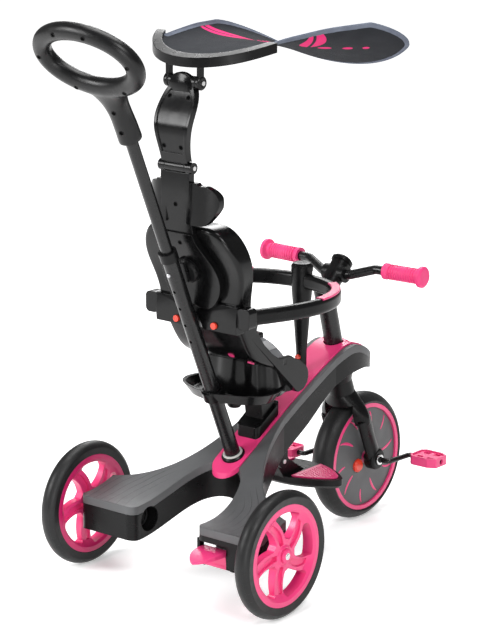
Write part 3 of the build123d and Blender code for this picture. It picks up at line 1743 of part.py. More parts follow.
def footrest_base():
    """Hinged leaf plate with a hub under the spine."""
    base_top = footrest_top_z - tread_thickness
    plate = plan_prism(footrest_leaf(), base_top - footrest_thickness, base_top)
    plate = chamfer(plate.faces().sort_by(Axis.Z)[0].edges(), 5)
    hub_face = make_face(
        Polyline(
            (footrest_pivot_x - 9, footrest_pivot_z - 8),
            (footrest_pivot_x + 9, footrest_pivot_z + 8),
            (footrest_middle_x + 8, base_top),
            (footrest_middle_x + 8, base_top - 8),
            (footrest_pivot_x + 14, base_top - 8),
            close=True,
        )
    )
    reach = rest_cheek_inner - body_gap
    hub = side_prism(hub_face, reach)
    hub = hub + footrest_pivot_cylinder(footrest_knuckle_radius, reach)
    return plate + hub - footrest_pivot_cylinder(hinge_pin_radius + running_clearance, pin_reach)


def footrest_tread(side):
    """Dotted tread plate on one wing of the leaf."""
    leaf = footrest_leaf(5)
    tread = plan_prism(leaf, footrest_top_z - tread_thickness, footrest_top_z)
    middle_y = (tread_inner_y + footrest_half_width) / 2
    keep = Pos(footrest_middle_x, side * middle_y, footrest_top_z)
    wing_width = footrest_half_width - tread_inner_y
    return tread & keep * Box(footrest_half_length * 4, wing_width, tread_thickness * 4)


def export_all(nodes):
    os.makedirs("parts", exist_ok=True)
    shift = Pos(-origin_ahead_of_rear_axle, 0, 0)
    for name, piece in nodes.items():
        if isinstance(piece, list):
            piece = Compound(children=[shift * single for single in piece])
        else:
            piece = shift * piece
        export_step(piece, f"parts/{name}.step")


nodes = {
    "frame_lower_shell": frame_lower_shell(),
    "frame_upper_cover": frame_upper_cover(),
    "spine_cover": spine_cover(),
    "steering_bushes": steering_bushes(),
    "rear_axles": [rear_axle(1), rear_axle(-1)],
    "brake_drums": [brake_drum(1), brake_drum(-1)],
    "fork": fork(),
    "steering_column": steering_column(),
    "stem": stem(),
    "stem_cap": stem_cap(),
    "handlebar": handlebar(),
    "grips": [grip(1), grip(-1)],
    "front_tyre": front_tyre(),
    "front_rim": front_rim(),
    "front_discs": [front_disc(1), front_disc(-1)],
    "crank_axle": crank_axle(),
    "clutch_knob": clutch_knob(),
    "pedal_left": pedal(1),
    "pedal_right": pedal(-1),
    "pole_lower_tube": pole_lower_tube(),
    "pole_collar": pole_collar(),
    "pole_ring": pole_ring(),
    "pole_upper_tube": pole_upper_tube(),
    "pole_button": pole_button(),
    "handle_front_half": handle_half(True),
    "handle_rear_half": handle_half(False),
    "seat_pedestal": pedestal(),
    "seat_tray": seat_tray(),
    "seat_knob": seat_knob(),
    "seat_drum": seat_drum(),
    "seat_shell": seat_shell(),
    "seat_pad": seat_pad(),
    "harness_plugs": harness_plugs(),
    "lap_belt": lap_belt(),
    "belt_buckle": buckle_block(),
    "back_plate": back_plate(),
    "seat_dial": seat_dial(),
    "headrest": headrest(),
    "hinge_pins": hinge_pins(),
    "canopy_arm": canopy_arm(),
    "canopy_pin": canopy_pin(),
    "canopy_rim": canopy_rim(),
    "canopy_sheet": canopy_sheet(),
    "safety_hoop": safety_hoop(),
    "hoop_pads": [hoop_pad(1), hoop_pad(-1)],
    "hoop_post": hoop_post(),
    "post_cap": post_cap(),
    "post_button": post_button_blank(),
    "hoop_button_left": hoop_button_blank(1),
    "hoop_button_right": hoop_button_blank(-1),
    "brake_lever": brake_lever(),
    "lever_brackets": lever_brackets(),
    "footrest_base": footrest_base(),
    "footrest_treads": [footrest_tread(1), footrest_tread(-1)],
}
for side, word in ((1, "left"), (-1, "right")):
    nodes[f"rear_tyre_{word}"] = place_rear_wheel(rear_tyre(), side)
    nodes[f"rear_rim_{word}"] = place_rear_wheel(rear_rim(), side)
    nodes[f"rear_hub_cap_{word}"] = place_rear_wheel(rear_hub_cap(), side)

export_all(nodes)
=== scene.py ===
import json
import math

import bmesh
import bpy
from mathutils import Matrix, Vector
from mathutils.bvhtree import BVHTree
from mathutils.kdtree import KDTree


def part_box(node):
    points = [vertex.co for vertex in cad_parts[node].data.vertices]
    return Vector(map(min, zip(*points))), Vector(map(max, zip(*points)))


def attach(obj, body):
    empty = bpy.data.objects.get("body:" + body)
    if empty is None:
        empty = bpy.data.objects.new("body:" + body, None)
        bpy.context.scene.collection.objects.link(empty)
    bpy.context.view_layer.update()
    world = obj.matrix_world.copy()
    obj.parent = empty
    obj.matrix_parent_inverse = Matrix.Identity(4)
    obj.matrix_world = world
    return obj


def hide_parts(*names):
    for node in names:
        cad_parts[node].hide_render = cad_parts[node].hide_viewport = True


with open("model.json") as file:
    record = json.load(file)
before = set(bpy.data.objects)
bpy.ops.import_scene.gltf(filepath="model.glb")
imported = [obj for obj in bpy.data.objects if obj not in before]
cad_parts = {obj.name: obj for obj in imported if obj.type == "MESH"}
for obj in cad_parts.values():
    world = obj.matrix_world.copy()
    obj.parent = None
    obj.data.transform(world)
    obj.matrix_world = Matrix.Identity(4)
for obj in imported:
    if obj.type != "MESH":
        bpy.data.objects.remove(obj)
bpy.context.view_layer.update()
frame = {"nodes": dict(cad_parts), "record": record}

nodes = frame["nodes"]
scene = bpy.context.scene
REAR_AXLE = -0.176
REAR_HUB_HEIGHT = 0.115
REAR_WHEEL_SIDE = 226
FRONT_HUB = (526, 0, 125)
POLE_HOLE = (148, 0, 214)
BELT_X = 188
HANDS = ((1, "left"), (-1, "right"))


def place(x, y, z):
    """A point given in millimetres from the rear axle, in the row frame."""
    return Vector((x / 1000 + REAR_AXLE, y / 1000, z / 1000))


class Sums:
    """Short names for the sums that both kinds of node tree use."""

    def times(self, a, b):
        return self.math("MULTIPLY", a, b)

    def plus(self, a, b):
        return self.math("ADD", a, b)

    def minus(self, a, b):
        return self.math("SUBTRACT", a, b)


# Materials
class Graph(Sums):
    """Small helper for building a node tree in reading order."""

    def __init__(self, name):
        self.material = bpy.data.materials.new(name)
        self.material.use_nodes = True
        self.tree = self.material.node_tree
        self.tree.nodes.clear()
        self.out = self.add("ShaderNodeOutputMaterial")
        self.shader = self.add("ShaderNodeBsdfPrincipled")
        self.link(self.shader.outputs[0], self.out.inputs[0])
        self.coords = self.add("ShaderNodeTexCoord")

    def add(self, kind, **settings):
        node = self.tree.nodes.new(kind)
        for key, value in settings.items():
            setattr(node, key, value)
        return node

    def link(self, a, b):
        self.tree.links.new(a, b)

    def set(self, **values):
        for key, value in values.items():
            self.shader.inputs[key.replace("_", " ")].default_value = value

    def colour(self, socket):
        self.link(socket, self.shader.inputs["Base Color"])

    def rough(self, socket):
        self.link(socket, self.shader.inputs["Roughness"])

    def relief(self, socket):
        self.link(socket, self.shader.inputs["Normal"])

    def axes(self, space="Object"):
        node = self.add("ShaderNodeSeparateXYZ")
        self.link(self.coords.outputs[space], node.inputs[0])
        return node.outputs[0], node.outputs[1], node.outputs[2]

    def noise(self, scale, detail=4.0, rough=0.55, stretch=None):
        node = self.add("ShaderNodeTexNoise")
        node.inputs["Scale"].default_value = scale
        node.inputs["Detail"].default_value = detail
        node.inputs["Roughness"].default_value = rough
        source = self.coords.outputs["Object"]
        if stretch:
            mapping = self.add("ShaderNodeMapping")
            mapping.inputs["Scale"].default_value = stretch
            self.link(source, mapping.inputs[0])
            source = mapping.outputs[0]
        self.link(source, node.inputs["Vector"])
        return node.outputs["Fac"]

    def span(self, value, low, high, from_low=0.3, from_high=0.7):
        node = self.add("ShaderNodeMapRange")
        self.link(value, node.inputs["Value"])
        node.inputs["From Min"].default_value = from_low
        node.inputs["From Max"].default_value = from_high
        node.inputs["To Min"].default_value = low
        node.inputs["To Max"].default_value = high
        return node.outputs[0]

    def math(self, operation, a, b=None):
        node = self.add("ShaderNodeMath", operation=operation)
        for index, value in enumerate((a, b)):
            if value is None:
                continue
            if isinstance(value, (int, float)):
                node.inputs[index].default_value = value
            else:
                self.link(value, node.inputs[index])
        return node.outputs[0]

    def distance(self, a, b):
        return self.math("SQRT", self.plus(self.times(a, a), self.times(b, b)))

    def near(self, value, middle, half):
        return self.math("LESS_THAN", self.math("ABSOLUTE", self.minus(value, middle)), half)

    def mix(self, factor, a, b):
        node = self.add("ShaderNodeMix", data_type="RGBA")
        self.link(factor, node.inputs["Factor"])
        for socket, value in ((node.inputs[6], a), (node.inputs[7], b)):
            if isinstance(value, tuple):
                socket.default_value = (*value, 1.0)
            else:
                self.link(value, socket)
        return node.outputs[2]

    def bump(self, height, distance, strength=1.0, normal=None):
        node = self.add("ShaderNodeBump")
        node.inputs["Distance"].default_value = distance
        node.inputs["Strength"].default_value = strength
        self.link(height, node.inputs["Height"])
        if normal is not None:
            self.link(normal, node.inputs["Normal"])
        return node.outputs[0]

    def mottled(self, colour, low, high, scale=9.0, detail=4.0):
        """A colour that drifts between a darker and a lighter tone of itself."""
        return self.mix(self.span(self.noise(scale, detail), 0.0, 1.0), shade(colour, low), shade(colour, high))

    def uneven(self, scale, low, high, detail=4.0):
        """Roughness that varies over the surface."""
        self.rough(self.span(self.noise(scale, detail), low, high))

    def grain(self, scale, depth, strength, normal, detail=2.0, rough=0.55):
        """Fine relief laid over a given normal."""
        return self.bump(self.noise(scale, detail, rough), depth, strength, normal)

    def rounded(self, radius):
        """Normal that softens the sharp edges of a moulding."""
        node = self.add("ShaderNodeBevel", samples=4)
        node.inputs["Radius"].default_value = radius
        return node.outputs[0]

    def worn_and_lit_edges(self, soft, amount):
        """How far a place is worn and catches light: the edges, where the softened normal leaves the true one. The
        lighter colour mixed in there is part wear, part painted edge highlight.
        """
        geometry = self.add("ShaderNodeNewGeometry")
        node = self.add("ShaderNodeVectorMath", operation="DOT_PRODUCT")
        self.link(soft, node.inputs[0])
        self.link(geometry.outputs["True Normal"], node.inputs[1])
        edge = self.span(node.outputs["Value"], amount, 0.0, 0.72, 0.97)
        return self.times(edge, self.span(self.noise(55.0, 3.0), 0.35, 1.0))


def shade(colour, factor):
    return tuple(min(1.0, c * factor) for c in colour)


def moulded(
    name, colour, rough=0.42, grain=1400.0, depth=0.0001, mottle=0.06, rub=0.3, coat=0.0, soft_edge=0.0015, level=0.5
):
    """Injection-moulded plastic: faint colour drift, spark-eroded grain, softened edges lightened by wear and by a
    painted edge highlight.
    """
    g = Graph(name)
    soft = g.rounded(soft_edge)
    base = g.mottled(colour, 1.0 - mottle, 1.0 + mottle)
    # Edges lightened: part wear, part painted edge highlight.
    g.colour(g.mix(g.worn_and_lit_edges(soft, rub), base, shade(colour, 1.8)))
    g.uneven(40.0, rough - 0.06, rough + 0.08, 5.0)
    flow = g.grain(45.0, depth * 1.5, 0.4, soft, rough=0.5)
    g.relief(g.grain(grain, depth, 0.5, flow, rough=0.5))
    g.set(IOR=1.5, Specular_IOR_Level=level, Coat_Weight=coat, Coat_Roughness=0.18)
    return g.material


def coated(name, colour, rough=0.27):
    """Powder-coated tube: orange-peel texture under a satin skin."""
    g = Graph(name)
    soft = g.rounded(0.0008)
    base = g.mottled(colour, 0.85, 1.2, 14.0)
    # Edges lightened: part wear, part painted edge highlight.
    g.colour(g.mix(g.worn_and_lit_edges(soft, 0.3), base, shade(colour, 2.2)))
    g.uneven(70.0, rough - 0.05, rough + 0.07)
    g.relief(g.grain(700.0, 0.0001, 0.5, soft, 1.0, 0.4))
    g.set(IOR=1.5, Specular_IOR_Level=0.3, Coat_Weight=0.12, Coat_Roughness=0.2)
    return g.material


def turned_steel(name, colour, rough=0.28):
    """Machined steel with fine lines round its axis."""
    g = Graph(name)
    lines = g.noise(60.0, 3.0, 0.6, stretch=(1.0, 60.0, 1.0))
    g.colour(g.mix(g.span(lines, 0.0, 1.0), shade(colour, 0.8), shade(colour, 1.1)))
    g.rough(g.span(lines, rough - 0.08, rough + 0.1))
    g.relief(g.bump(lines, 0.00004, 0.5, g.rounded(0.0005)))
    g.set(Metallic=1.0)
    return g.material


def rubber(name, colour, rough, spacing, centre, half_width):
    """Tyre compound: dusty film, a parting line round the crown and fine cuts across the shoulders."""
    g = Graph(name)
    x, y, z = g.axes()
    side = g.math("ABSOLUTE", g.minus(y, centre[1]))
    angle = g.math("ARCTAN2", g.minus(z, centre[2]), g.minus(x, centre[0]))
    wave = g.math("SINE", g.times(angle, spacing))
    cut = g.times(g.math("GREATER_THAN", wave, 0.9), g.near(side, half_width * 0.72, half_width * 0.14))
    line = g.near(side, half_width * 0.42, 0.0009)
    height = g.minus(1.0, g.math("MAXIMUM", cut, line))
    g.colour(g.mottled(colour, 0.86, 1.3, 25.0, 6.0))
    g.uneven(90.0, rough - 0.07, rough + 0.09, 5.0)
    fine = g.grain(900.0, 0.0001, 0.5, g.rounded(0.002))
    g.relief(g.bump(height, 0.0005, 0.5, fine))
    g.set(IOR=1.5, Specular_IOR_Level=0.3)
    return g.material


def weave(g, u, v, colour, thread, rough, sheen, depth=0.00025):
    """Plain weave: over-and-under threads, uneven dye and a soft nap. Gives the dyed colour, with painted shade in
    the dips between the threads.
    """
    turn = math.pi / thread
    over, under = (g.math("SINE", g.times(way, turn)) for way in (u, v))
    cross = g.times(over, under)
    height = g.span(cross, 0.0, 1.0, -1.0, 1.0)
    base = g.mottled(colour, 0.82, 1.18, 30.0, 5.0)
    g.uneven(60.0, rough - 0.08, rough + 0.08)
    g.relief(g.bump(height, depth, 0.7))
    g.set(Sheen_Weight=sheen, Sheen_Roughness=0.4)
    # Dips between the threads darkened: painted shade.
    return g.mix(height, shade(colour, 0.7), base)


PINK = (0.80, 0.042, 0.195)
GREY = (0.086, 0.088, 0.091)
BLACK = (0.0045, 0.0045, 0.0048)
# Painted shade for the inside of the rear rims' barrels.
BARREL_SHADE_PINK = (0.52, 0.008, 0.11)

looks = {
    "pink_plastic": moulded("pink_plastic", PINK, rough=0.34, mottle=0.04, rub=0.12, coat=0.12),
    "grey_plastic": moulded("grey_plastic", GREY, rough=0.5),
    "black_plastic": moulded("black_plastic", BLACK, rough=0.30, level=0.17),
    "black_metal": coated("black_metal", shade(BLACK, 1.1)),
    "steel": turned_steel("steel", (0.62, 0.62, 0.62)),
    "bush_plastic": moulded("bush_plastic", (0.5, 0.5, 0.48), rough=0.45),
    "red_plastic": moulded("red_plastic", (0.75, 0.045, 0.02), rough=0.32, mottle=0.05, coat=0.2),
    "button_metal": turned_steel("button_metal", (0.5, 0.5, 0.52), 0.35),
}
slot_of = {entry["node"]: entry["material_slot"] for entry in frame["record"]["subparts"]}


def dress(name, look):
    nodes[name].data.materials.clear()
    nodes[name].data.materials.append(look)


for name in nodes:
    if slot_of[name] in looks:
        dress(name, looks[slot_of[name]])

tyre_black = (0.0085, 0.0085, 0.0088)
dress("front_tyre", rubber("front_tyre_rubber", tyre_black, 0.46, 44, place(*FRONT_HUB), 0.025))
for hand, word in HANDS:
    hub = place(0, hand * REAR_WHEEL_SIDE, 115)
    dress("rear_tyre_" + word, rubber("rear_tyre_" + word + "_rubber", tyre_black, 0.42, 36, hub, 0.016))

seat_gloss = moulded("black_seat_gloss", shade(BLACK, 0.8), rough=0.19, depth=0.00003, soft_edge=0.0022, level=0.22)
for name in ("seat_shell", "seat_drum", "seat_tray", "headrest", "back_plate", "canopy_arm"):
    dress(name, seat_gloss)


def arm_cover_look():
    """Grey cover with terraced ridges that curve across the ends of the arms, and a line of painted shade at the foot
    of each step.
    """
    g = Graph("grey_arm_cover")
    soft = g.rounded(0.003)
    x, y, z = g.axes()
    across = g.math("ABSOLUTE", y)
    along = g.minus(x, REAR_AXLE)
    bend = g.times(g.times(along, along), 5.0)
    warp = g.times(g.noise(9.0, 1.0), 0.03)
    run = g.plus(g.plus(across, bend), warp)
    saw = g.math("FRACT", g.math("DIVIDE", run, 0.016))
    facing = g.add("ShaderNodeSeparateXYZ")
    g.link(g.add("ShaderNodeNewGeometry").outputs["True Normal"], facing.inputs[0])
    level = g.span(facing.outputs[2], 0.0, 1.0, 0.6, 0.85)
    ends = g.times(g.span(across, 0.0, 1.0, 0.085, 0.115), level)
    height = g.times(g.span(saw, 1.0, 0.0, 0.0, 0.85), ends)
    # Dark line at the foot of each step: painted shade under the riser.
    line = g.times(g.math("GREATER_THAN", saw, 0.88), ends)
    base = g.mottled(GREY, 0.92, 1.08)
    # Edges lightened: part wear, part painted edge highlight.
    g.colour(g.mix(g.worn_and_lit_edges(soft, 0.25), g.mix(line, base, shade(GREY, 0.66)), shade(GREY, 1.7)))
    g.uneven(40.0, 0.46, 0.6, 5.0)
    fine = g.grain(1400.0, 0.00012, 0.6, soft)
    g.relief(g.bump(height, 0.0011, 0.9, fine))
    return g.material


def drum_look():
    """Brake drum with fine turned rings on its face."""
    g = Graph("black_brake_drum")
    x, y, z = g.axes()
    reach = g.distance(g.minus(x, REAR_AXLE), g.minus(z, REAR_HUB_HEIGHT))
    rings = g.span(g.math("SINE", g.times(reach, 2 * math.pi / 0.0042)), 0.0, 1.0, -0.3, 0.6)
    g.colour(g.mix(rings, shade(BLACK, 0.8), shade(BLACK, 2.4)))
    g.uneven(60.0, 0.36, 0.5)
    g.set(Specular_IOR_Level=0.3)
    fine = g.grain(1200.0, 0.0001, 0.5, g.rounded(0.001))
    g.relief(g.bump(rings, 0.0008, 0.8, fine))
    return g.material


def rim_look(name, side):
    """Rear rim: bright faces, and a deeper tone inside the barrel where the light falls off."""
    g = Graph(name)
    soft = g.rounded(0.0018)
    x, y, z = g.axes()
    reach = g.distance(g.minus(x, REAR_AXLE), g.minus(z, REAR_HUB_HEIGHT))
    depth = g.minus(REAR_WHEEL_SIDE / 1000 + 0.008, g.times(y, side))
    # Painted shade: the rim darkens inside its barrel, where the light falls off.
    inside = g.times(g.span(depth, 0.0, 1.0, 0.0, 0.012), g.span(reach, 0.0, 1.0, 0.070, 0.080))
    base = g.mottled(PINK, 0.96, 1.04)
    # Edges lightened: part wear, part painted edge highlight.
    g.colour(g.mix(g.worn_and_lit_edges(soft, 0.12), g.mix(inside, base, BARREL_SHADE_PINK), shade(PINK, 1.4)))
    g.uneven(40.0, 0.28, 0.42, 5.0)
    g.relief(g.grain(1400.0, 0.00008, 0.5, soft))
    g.set(IOR=1.5, Coat_Weight=0.12, Coat_Roughness=0.18)
    return g.material


def grip_look():
    """Soft grip skin: satin pink with a fine matt grain."""
    g = Graph("pink_grip")
    soft = g.rounded(0.0015)
    base = g.mottled(PINK, 0.94, 1.06, 12.0)
    # Edges lightened: part wear, part painted edge highlight.
    g.colour(g.mix(g.worn_and_lit_edges(soft, 0.2), base, shade(PINK, 1.3)))
    g.uneven(60.0, 0.46, 0.6)
    g.relief(g.grain(1600.0, 0.0001, 0.6, soft))
    return g.material


dress("frame_upper_cover", arm_cover_look())
dress("brake_drums", drum_look())
for hand, word in HANDS:
    dress("rear_rim_" + word, rim_look("pink_rim_" + word, hand))
pink_grip = grip_look()
dress("grips", pink_grip)


# Pieces made here
def smooth_shaded(mesh):
    mesh.polygons.foreach_set("use_smooth", [True] * len(mesh.polygons))


def show(name, mesh, look):
    """A scene object that holds a mesh, in one material."""
    piece = bpy.data.objects.new(name, mesh)
    scene.collection.objects.link(piece)
    if look is not None:
        mesh.materials.append(look)
    return piece


def new_piece(name, verts, faces, look):
    mesh = bpy.data.meshes.new(name)
    mesh.from_pydata([tuple(v) for v in verts], [], faces)
    mesh.update()
    smooth_shaded(mesh)
    return show(name, mesh, look)


def face_outward(piece):
    bm = bmesh.new()
    bm.from_mesh(piece.data)
    bmesh.ops.recalc_face_normals(bm, faces=bm.faces)
    bm.to_mesh(piece.data)
    bm.free()


def lay_flat(piece, flat):
    """Write each point's place on the flat cloth as the piece's UV."""
    layer = piece.data.uv_layers.new(name="flat")
    for loop in piece.data.loops:
        layer.data[loop.index].uv = flat[loop.vertex_index]


def thicken(piece, thickness, offset=0):
    modifier = piece.modifiers.new("thickness", "SOLIDIFY")
    modifier.thickness = thickness
    modifier.offset = offset
    return modifier


def ease_edges(piece, width):
    modifier = piece.modifiers.new("edge", "BEVEL")
    modifier.width = width
    modifier.segments = 2
    modifier.limit_method = "ANGLE"


def even_out(piece, voxel, rounds):
    """Remesh a piece evenly and calm its surface."""
    even = piece.modifiers.new("even", "REMESH")
    even.mode = "VOXEL"
    even.voxel_size = voxel
    even.use_smooth_shade = True
    calm = piece.modifiers.new("calm", "SMOOTH")
    calm.factor = 0.5
    calm.iterations = rounds


def settle(piece):
    """Bake a piece's modifiers into its own mesh."""
    view = bpy.context.evaluated_depsgraph_get()
    view.update()
    baked = bpy.data.meshes.new_from_object(piece.evaluated_get(view))
    piece.modifiers.clear()
    piece.data = baked
    return piece


def give(piece, body, slot, *replaced):
    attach(piece, body)
    if replaced:
        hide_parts(*replaced)
    return piece


def grid_faces(rows, columns):
    """Quads of a sheet of points laid out row by row."""
    wide = columns + 1
    return [
        (i * wide + j, i * wide + j + 1, (i + 1) * wide + j + 1, (i + 1) * wide + j)
        for i in range(rows)
        for j in range(columns)
    ]


def skin(piece):
    """A piece's surface, for finding where a small piece sits on it."""
    mesh = piece.data
    return BVHTree.FromPolygons([v.co.copy() for v in mesh.vertices], [tuple(p.vertices) for p in mesh.polygons])


def lathe(name, look, profile, foot, axis, turns=48):
    """A closed ring or button turned about an axis, from (radius, height) points in millimetres."""
    axis = Vector(axis).normalized()
    out = axis.orthogonal().normalized()
    side = axis.cross(out)
    bm = bmesh.new()
    rings = []
    for radius, height in profile:
        ring = []
        for step in range(turns):
            angle = 2 * math.pi * step / turns
            spoke = out * math.cos(angle) + side * math.sin(angle)
            ring.append(bm.verts.new(foot + axis * (height / 1000) + spoke * (radius / 1000)))
        rings.append(ring)
    for i in range(len(rings)):
        a, b = rings[i], rings[(i + 1) % len(rings)]
        for step in range(turns):
            after = (step + 1) % turns
            bm.faces.new((a[step], a[after], b[after], b[step]))
    bmesh.ops.remove_doubles(bm, verts=bm.verts, dist=1e-6)
    bmesh.ops.recalc_face_normals(bm, faces=bm.faces)
    mesh = bpy.data.meshes.new(name)
    bm.to_mesh(mesh)
    bm.free()
    smooth_shaded(mesh)
    piece = show(name, mesh, look)
    ease_edges(piece, 0.0004)
    return settle(piece)


# Repeated pieces, made by Geometry Nodes
class Steps(Sums):
    """A Geometry Nodes tree with named sizes, written in reading order."""

    def __init__(self, name, **sizes):
        self.tree = bpy.data.node_groups.new(name, "GeometryNodeTree")
        face = self.tree.interface
        face.new_socket("Geometry", in_out="INPUT", socket_type="NodeSocketGeometry")
        for key, value in sizes.items():
            kind = "NodeSocketInt" if isinstance(value, int) else "NodeSocketFloat"
            face.new_socket(key, in_out="INPUT", socket_type=kind).default_value = value
        face.new_socket("Finish", in_out="INPUT", socket_type="NodeSocketMaterial")
        face.new_socket("Geometry", in_out="OUTPUT", socket_type="NodeSocketGeometry")
        self.given = self.add("NodeGroupInput").outputs

    def add(self, kind, *wires, **settings):
        """A node, with its inputs set or wired as (input, value) pairs."""
        node = self.tree.nodes.new(kind)
        for key, value in settings.items():
            setattr(node, key, value)
        for socket, value in wires:
            if isinstance(value, bpy.types.NodeSocket):
                self.tree.links.new(value, node.inputs[socket])
            else:
                node.inputs[socket].default_value = value
        return node

    def math(self, operation, a, b=0.0):
        return self.add("ShaderNodeMath", (0, a), (1, b), operation=operation).outputs[0]

    def vector(self, x, y, z):
        return self.add("ShaderNodeCombineXYZ", (0, x), (1, y), (2, z)).outputs[0]

    def facing(self):
        """Turn that stands an instance on the surface, from the points' own attribute."""
        mark = self.add("GeometryNodeInputNamedAttribute", ("Name", "facing"), data_type="FLOAT_VECTOR")
        turn = self.add("FunctionNodeAlignRotationToVector", ("Vector", mark.outputs["Attribute"]), axis="Z")
        return turn.outputs["Rotation"]

    def along(self):
        """Turn that stands an instance square to the line it sits on."""
        tangent = self.add("GeometryNodeInputTangent").outputs[0]
        turn = self.add("FunctionNodeAlignRotationToVector", ("Vector", tangent), axis="Z")
        return turn.outputs["Rotation"]

    def hoop(self, sides, radius, wire):
        """A round ring of thin wire."""
        ring = self.add("GeometryNodeCurvePrimitiveCircle", ("Resolution", sides), ("Radius", radius))
        section = self.add("GeometryNodeCurvePrimitiveCircle", ("Resolution", 8), ("Radius", wire))
        hoop = self.add("GeometryNodeCurveToMesh", ("Curve", ring.outputs[0]), ("Profile Curve", section.outputs[0]))
        return hoop.outputs[0]

    def finish(self, points, instance, *turned):
        """Stand the instance on the points, and end the tree."""
        wires = (("Points", points), ("Instance", instance)) + tuple(("Rotation", turn) for turn in turned)
        instances = self.add("GeometryNodeInstanceOnPoints", *wires).outputs[0]
        solid = self.add("GeometryNodeRealizeInstances", ("Geometry", instances))
        done = self.add("GeometryNodeSetMaterial", ("Geometry", solid.outputs[0]), ("Material", self.given["Finish"]))
        self.add("NodeGroupOutput", ("Geometry", done.outputs[0]))

    def make(self, name, points, look, facing=None, edges=None, **sizes):
        """The tree's result on a set of points, as a plain mesh."""
        piece = new_piece(name, points, [], None)
        if edges:
            piece.data.clear_geometry()
            piece.data.from_pydata([tuple(p) for p in points], edges, [])
        if facing:
            marks = piece.data.attributes.new("facing", "FLOAT_VECTOR", "POINT")
            for mark, value in zip(marks.data, facing):
                mark.vector = value
        modifier = piece.modifiers.new("steps", "NODES")
        modifier.node_group = self.tree
        for socket in self.tree.interface.items_tree:
            if socket.in_out == "INPUT" and socket.name in sizes:
                modifier[socket.identifier] = sizes[socket.name]
            elif socket.name == "Finish":
                modifier[socket.identifier] = look
        return settle(piece)


def screw_steps():
    """Domed screw heads with a cross recess, one on each point."""
    t = Steps("cross_head_screws", Radius=0.0032, Height=0.0016)
    radius, height = t.given["Radius"], t.given["Height"]
    head = t.add(
        "GeometryNodeMeshCone",
        ("Vertices", 20),
        ("Radius Top", t.times(radius, 0.7)),
        ("Radius Bottom", radius),
        ("Depth", height),
    )
    long_side = t.times(radius, 1.15)
    narrow = t.times(radius, 0.28)
    lift = t.vector(0.0, 0.0, t.times(height, 0.95))
    recess = t.add("GeometryNodeJoinGeometry")
    for size in (t.vector(long_side, narrow, height), t.vector(narrow, long_side, height)):
        bar = t.add("GeometryNodeMeshCube", ("Size", size))
        raised = t.add("GeometryNodeTransform", ("Geometry", bar.outputs[0]), ("Translation", lift))
        t.tree.links.new(raised.outputs[0], recess.inputs[0])
    cut = t.add("GeometryNodeMeshBoolean", ("Mesh 1", head.outputs[0]), ("Mesh 2", recess.outputs[0]))
    cut.operation = "DIFFERENCE"
    t.finish(t.given["Geometry"], cut.outputs[0], t.facing())
    return t


def well_steps():
    """A low round collar on each point, where a screw sits in its well."""
    t = Steps("screw_wells", Radius=0.0040, Lip=0.0007)
    t.finish(t.given["Geometry"], t.hoop(24, t.given["Radius"], t.given["Lip"]), t.facing())
    return t


def stud_steps():
    """Low round studs in staggered rows inside both wings of the leaf-shaped tread."""
    t = Steps(
        "tread_studs",
        Pitch=0.0062,
        Radius=0.0016,
        Height=0.0011,
        Reach=0.118,
        Leaf_Radius=0.1455,
        Leaf_Shift=0.0975,
        Inner=0.031,
        Margin=0.005,
        Middle_X=0.325,
        Top=0.150,
    )
    given = t.given
    count = t.math("FLOOR", t.math("DIVIDE", t.times(given["Reach"], 2.0), given["Pitch"]))
    grid = t.add(
        "GeometryNodeMeshGrid",
        ("Size X", t.times(given["Reach"], 2.0)),
        ("Size Y", t.times(given["Reach"], 2.0)),
        ("Vertices X", count),
        ("Vertices Y", count),
    )
    place_x, place_y, place_z = t.add(
        "ShaderNodeSeparateXYZ", (0, t.add("GeometryNodeInputPosition").outputs[0])
    ).outputs
    row = t.math("ROUND", t.math("DIVIDE", place_y, given["Pitch"]))
    half_pitch = t.times(given["Pitch"], 0.5)
    shifted = t.plus(place_x, t.times(t.math("PINGPONG", row, 1.0), half_pitch))
    fore = t.plus(t.math("ABSOLUTE", shifted), given["Leaf_Shift"])
    side = t.math("ABSOLUTE", place_y)
    reach = t.math("SQRT", t.plus(t.times(fore, fore), t.times(side, side)))
    beyond = t.math("GREATER_THAN", reach, t.minus(given["Leaf_Radius"], given["Margin"]))
    middle = t.math("LESS_THAN", side, t.plus(given["Inner"], given["Margin"]))
    kept = t.add(
        "GeometryNodeDeleteGeometry",
        ("Geometry", grid.outputs[0]),
        ("Selection", t.math("MAXIMUM", beyond, middle)),
    )
    moved = t.add(
        "GeometryNodeSetPosition",
        ("Geometry", kept.outputs[0]),
        ("Position", t.vector(t.plus(shifted, given["Middle_X"]), place_y, given["Top"])),
    )
    stud = t.add(
        "GeometryNodeMeshCone",
        ("Vertices", 8),
        ("Radius Top", t.times(given["Radius"], 0.55)),
        ("Radius Bottom", given["Radius"]),
        ("Depth", given["Height"]),
    )
    t.finish(moved.outputs[0], stud.outputs[0])
    return t


def rib_steps():
    """Round ribs along a bar, spaced evenly between the ends of each line."""
    t = Steps("grip_ribs", Ribs=11, Radius=0.0138, Wire=0.0010)
    line = t.add("GeometryNodeMeshToCurve", ("Mesh", t.given["Geometry"]))
    even = t.add("GeometryNodeResampleCurve", ("Curve", line.outputs[0]), ("Count", t.given["Ribs"]))
    t.finish(even.outputs[0], t.hoop(40, t.given["Radius"], t.given["Wire"]), t.along())
    return t


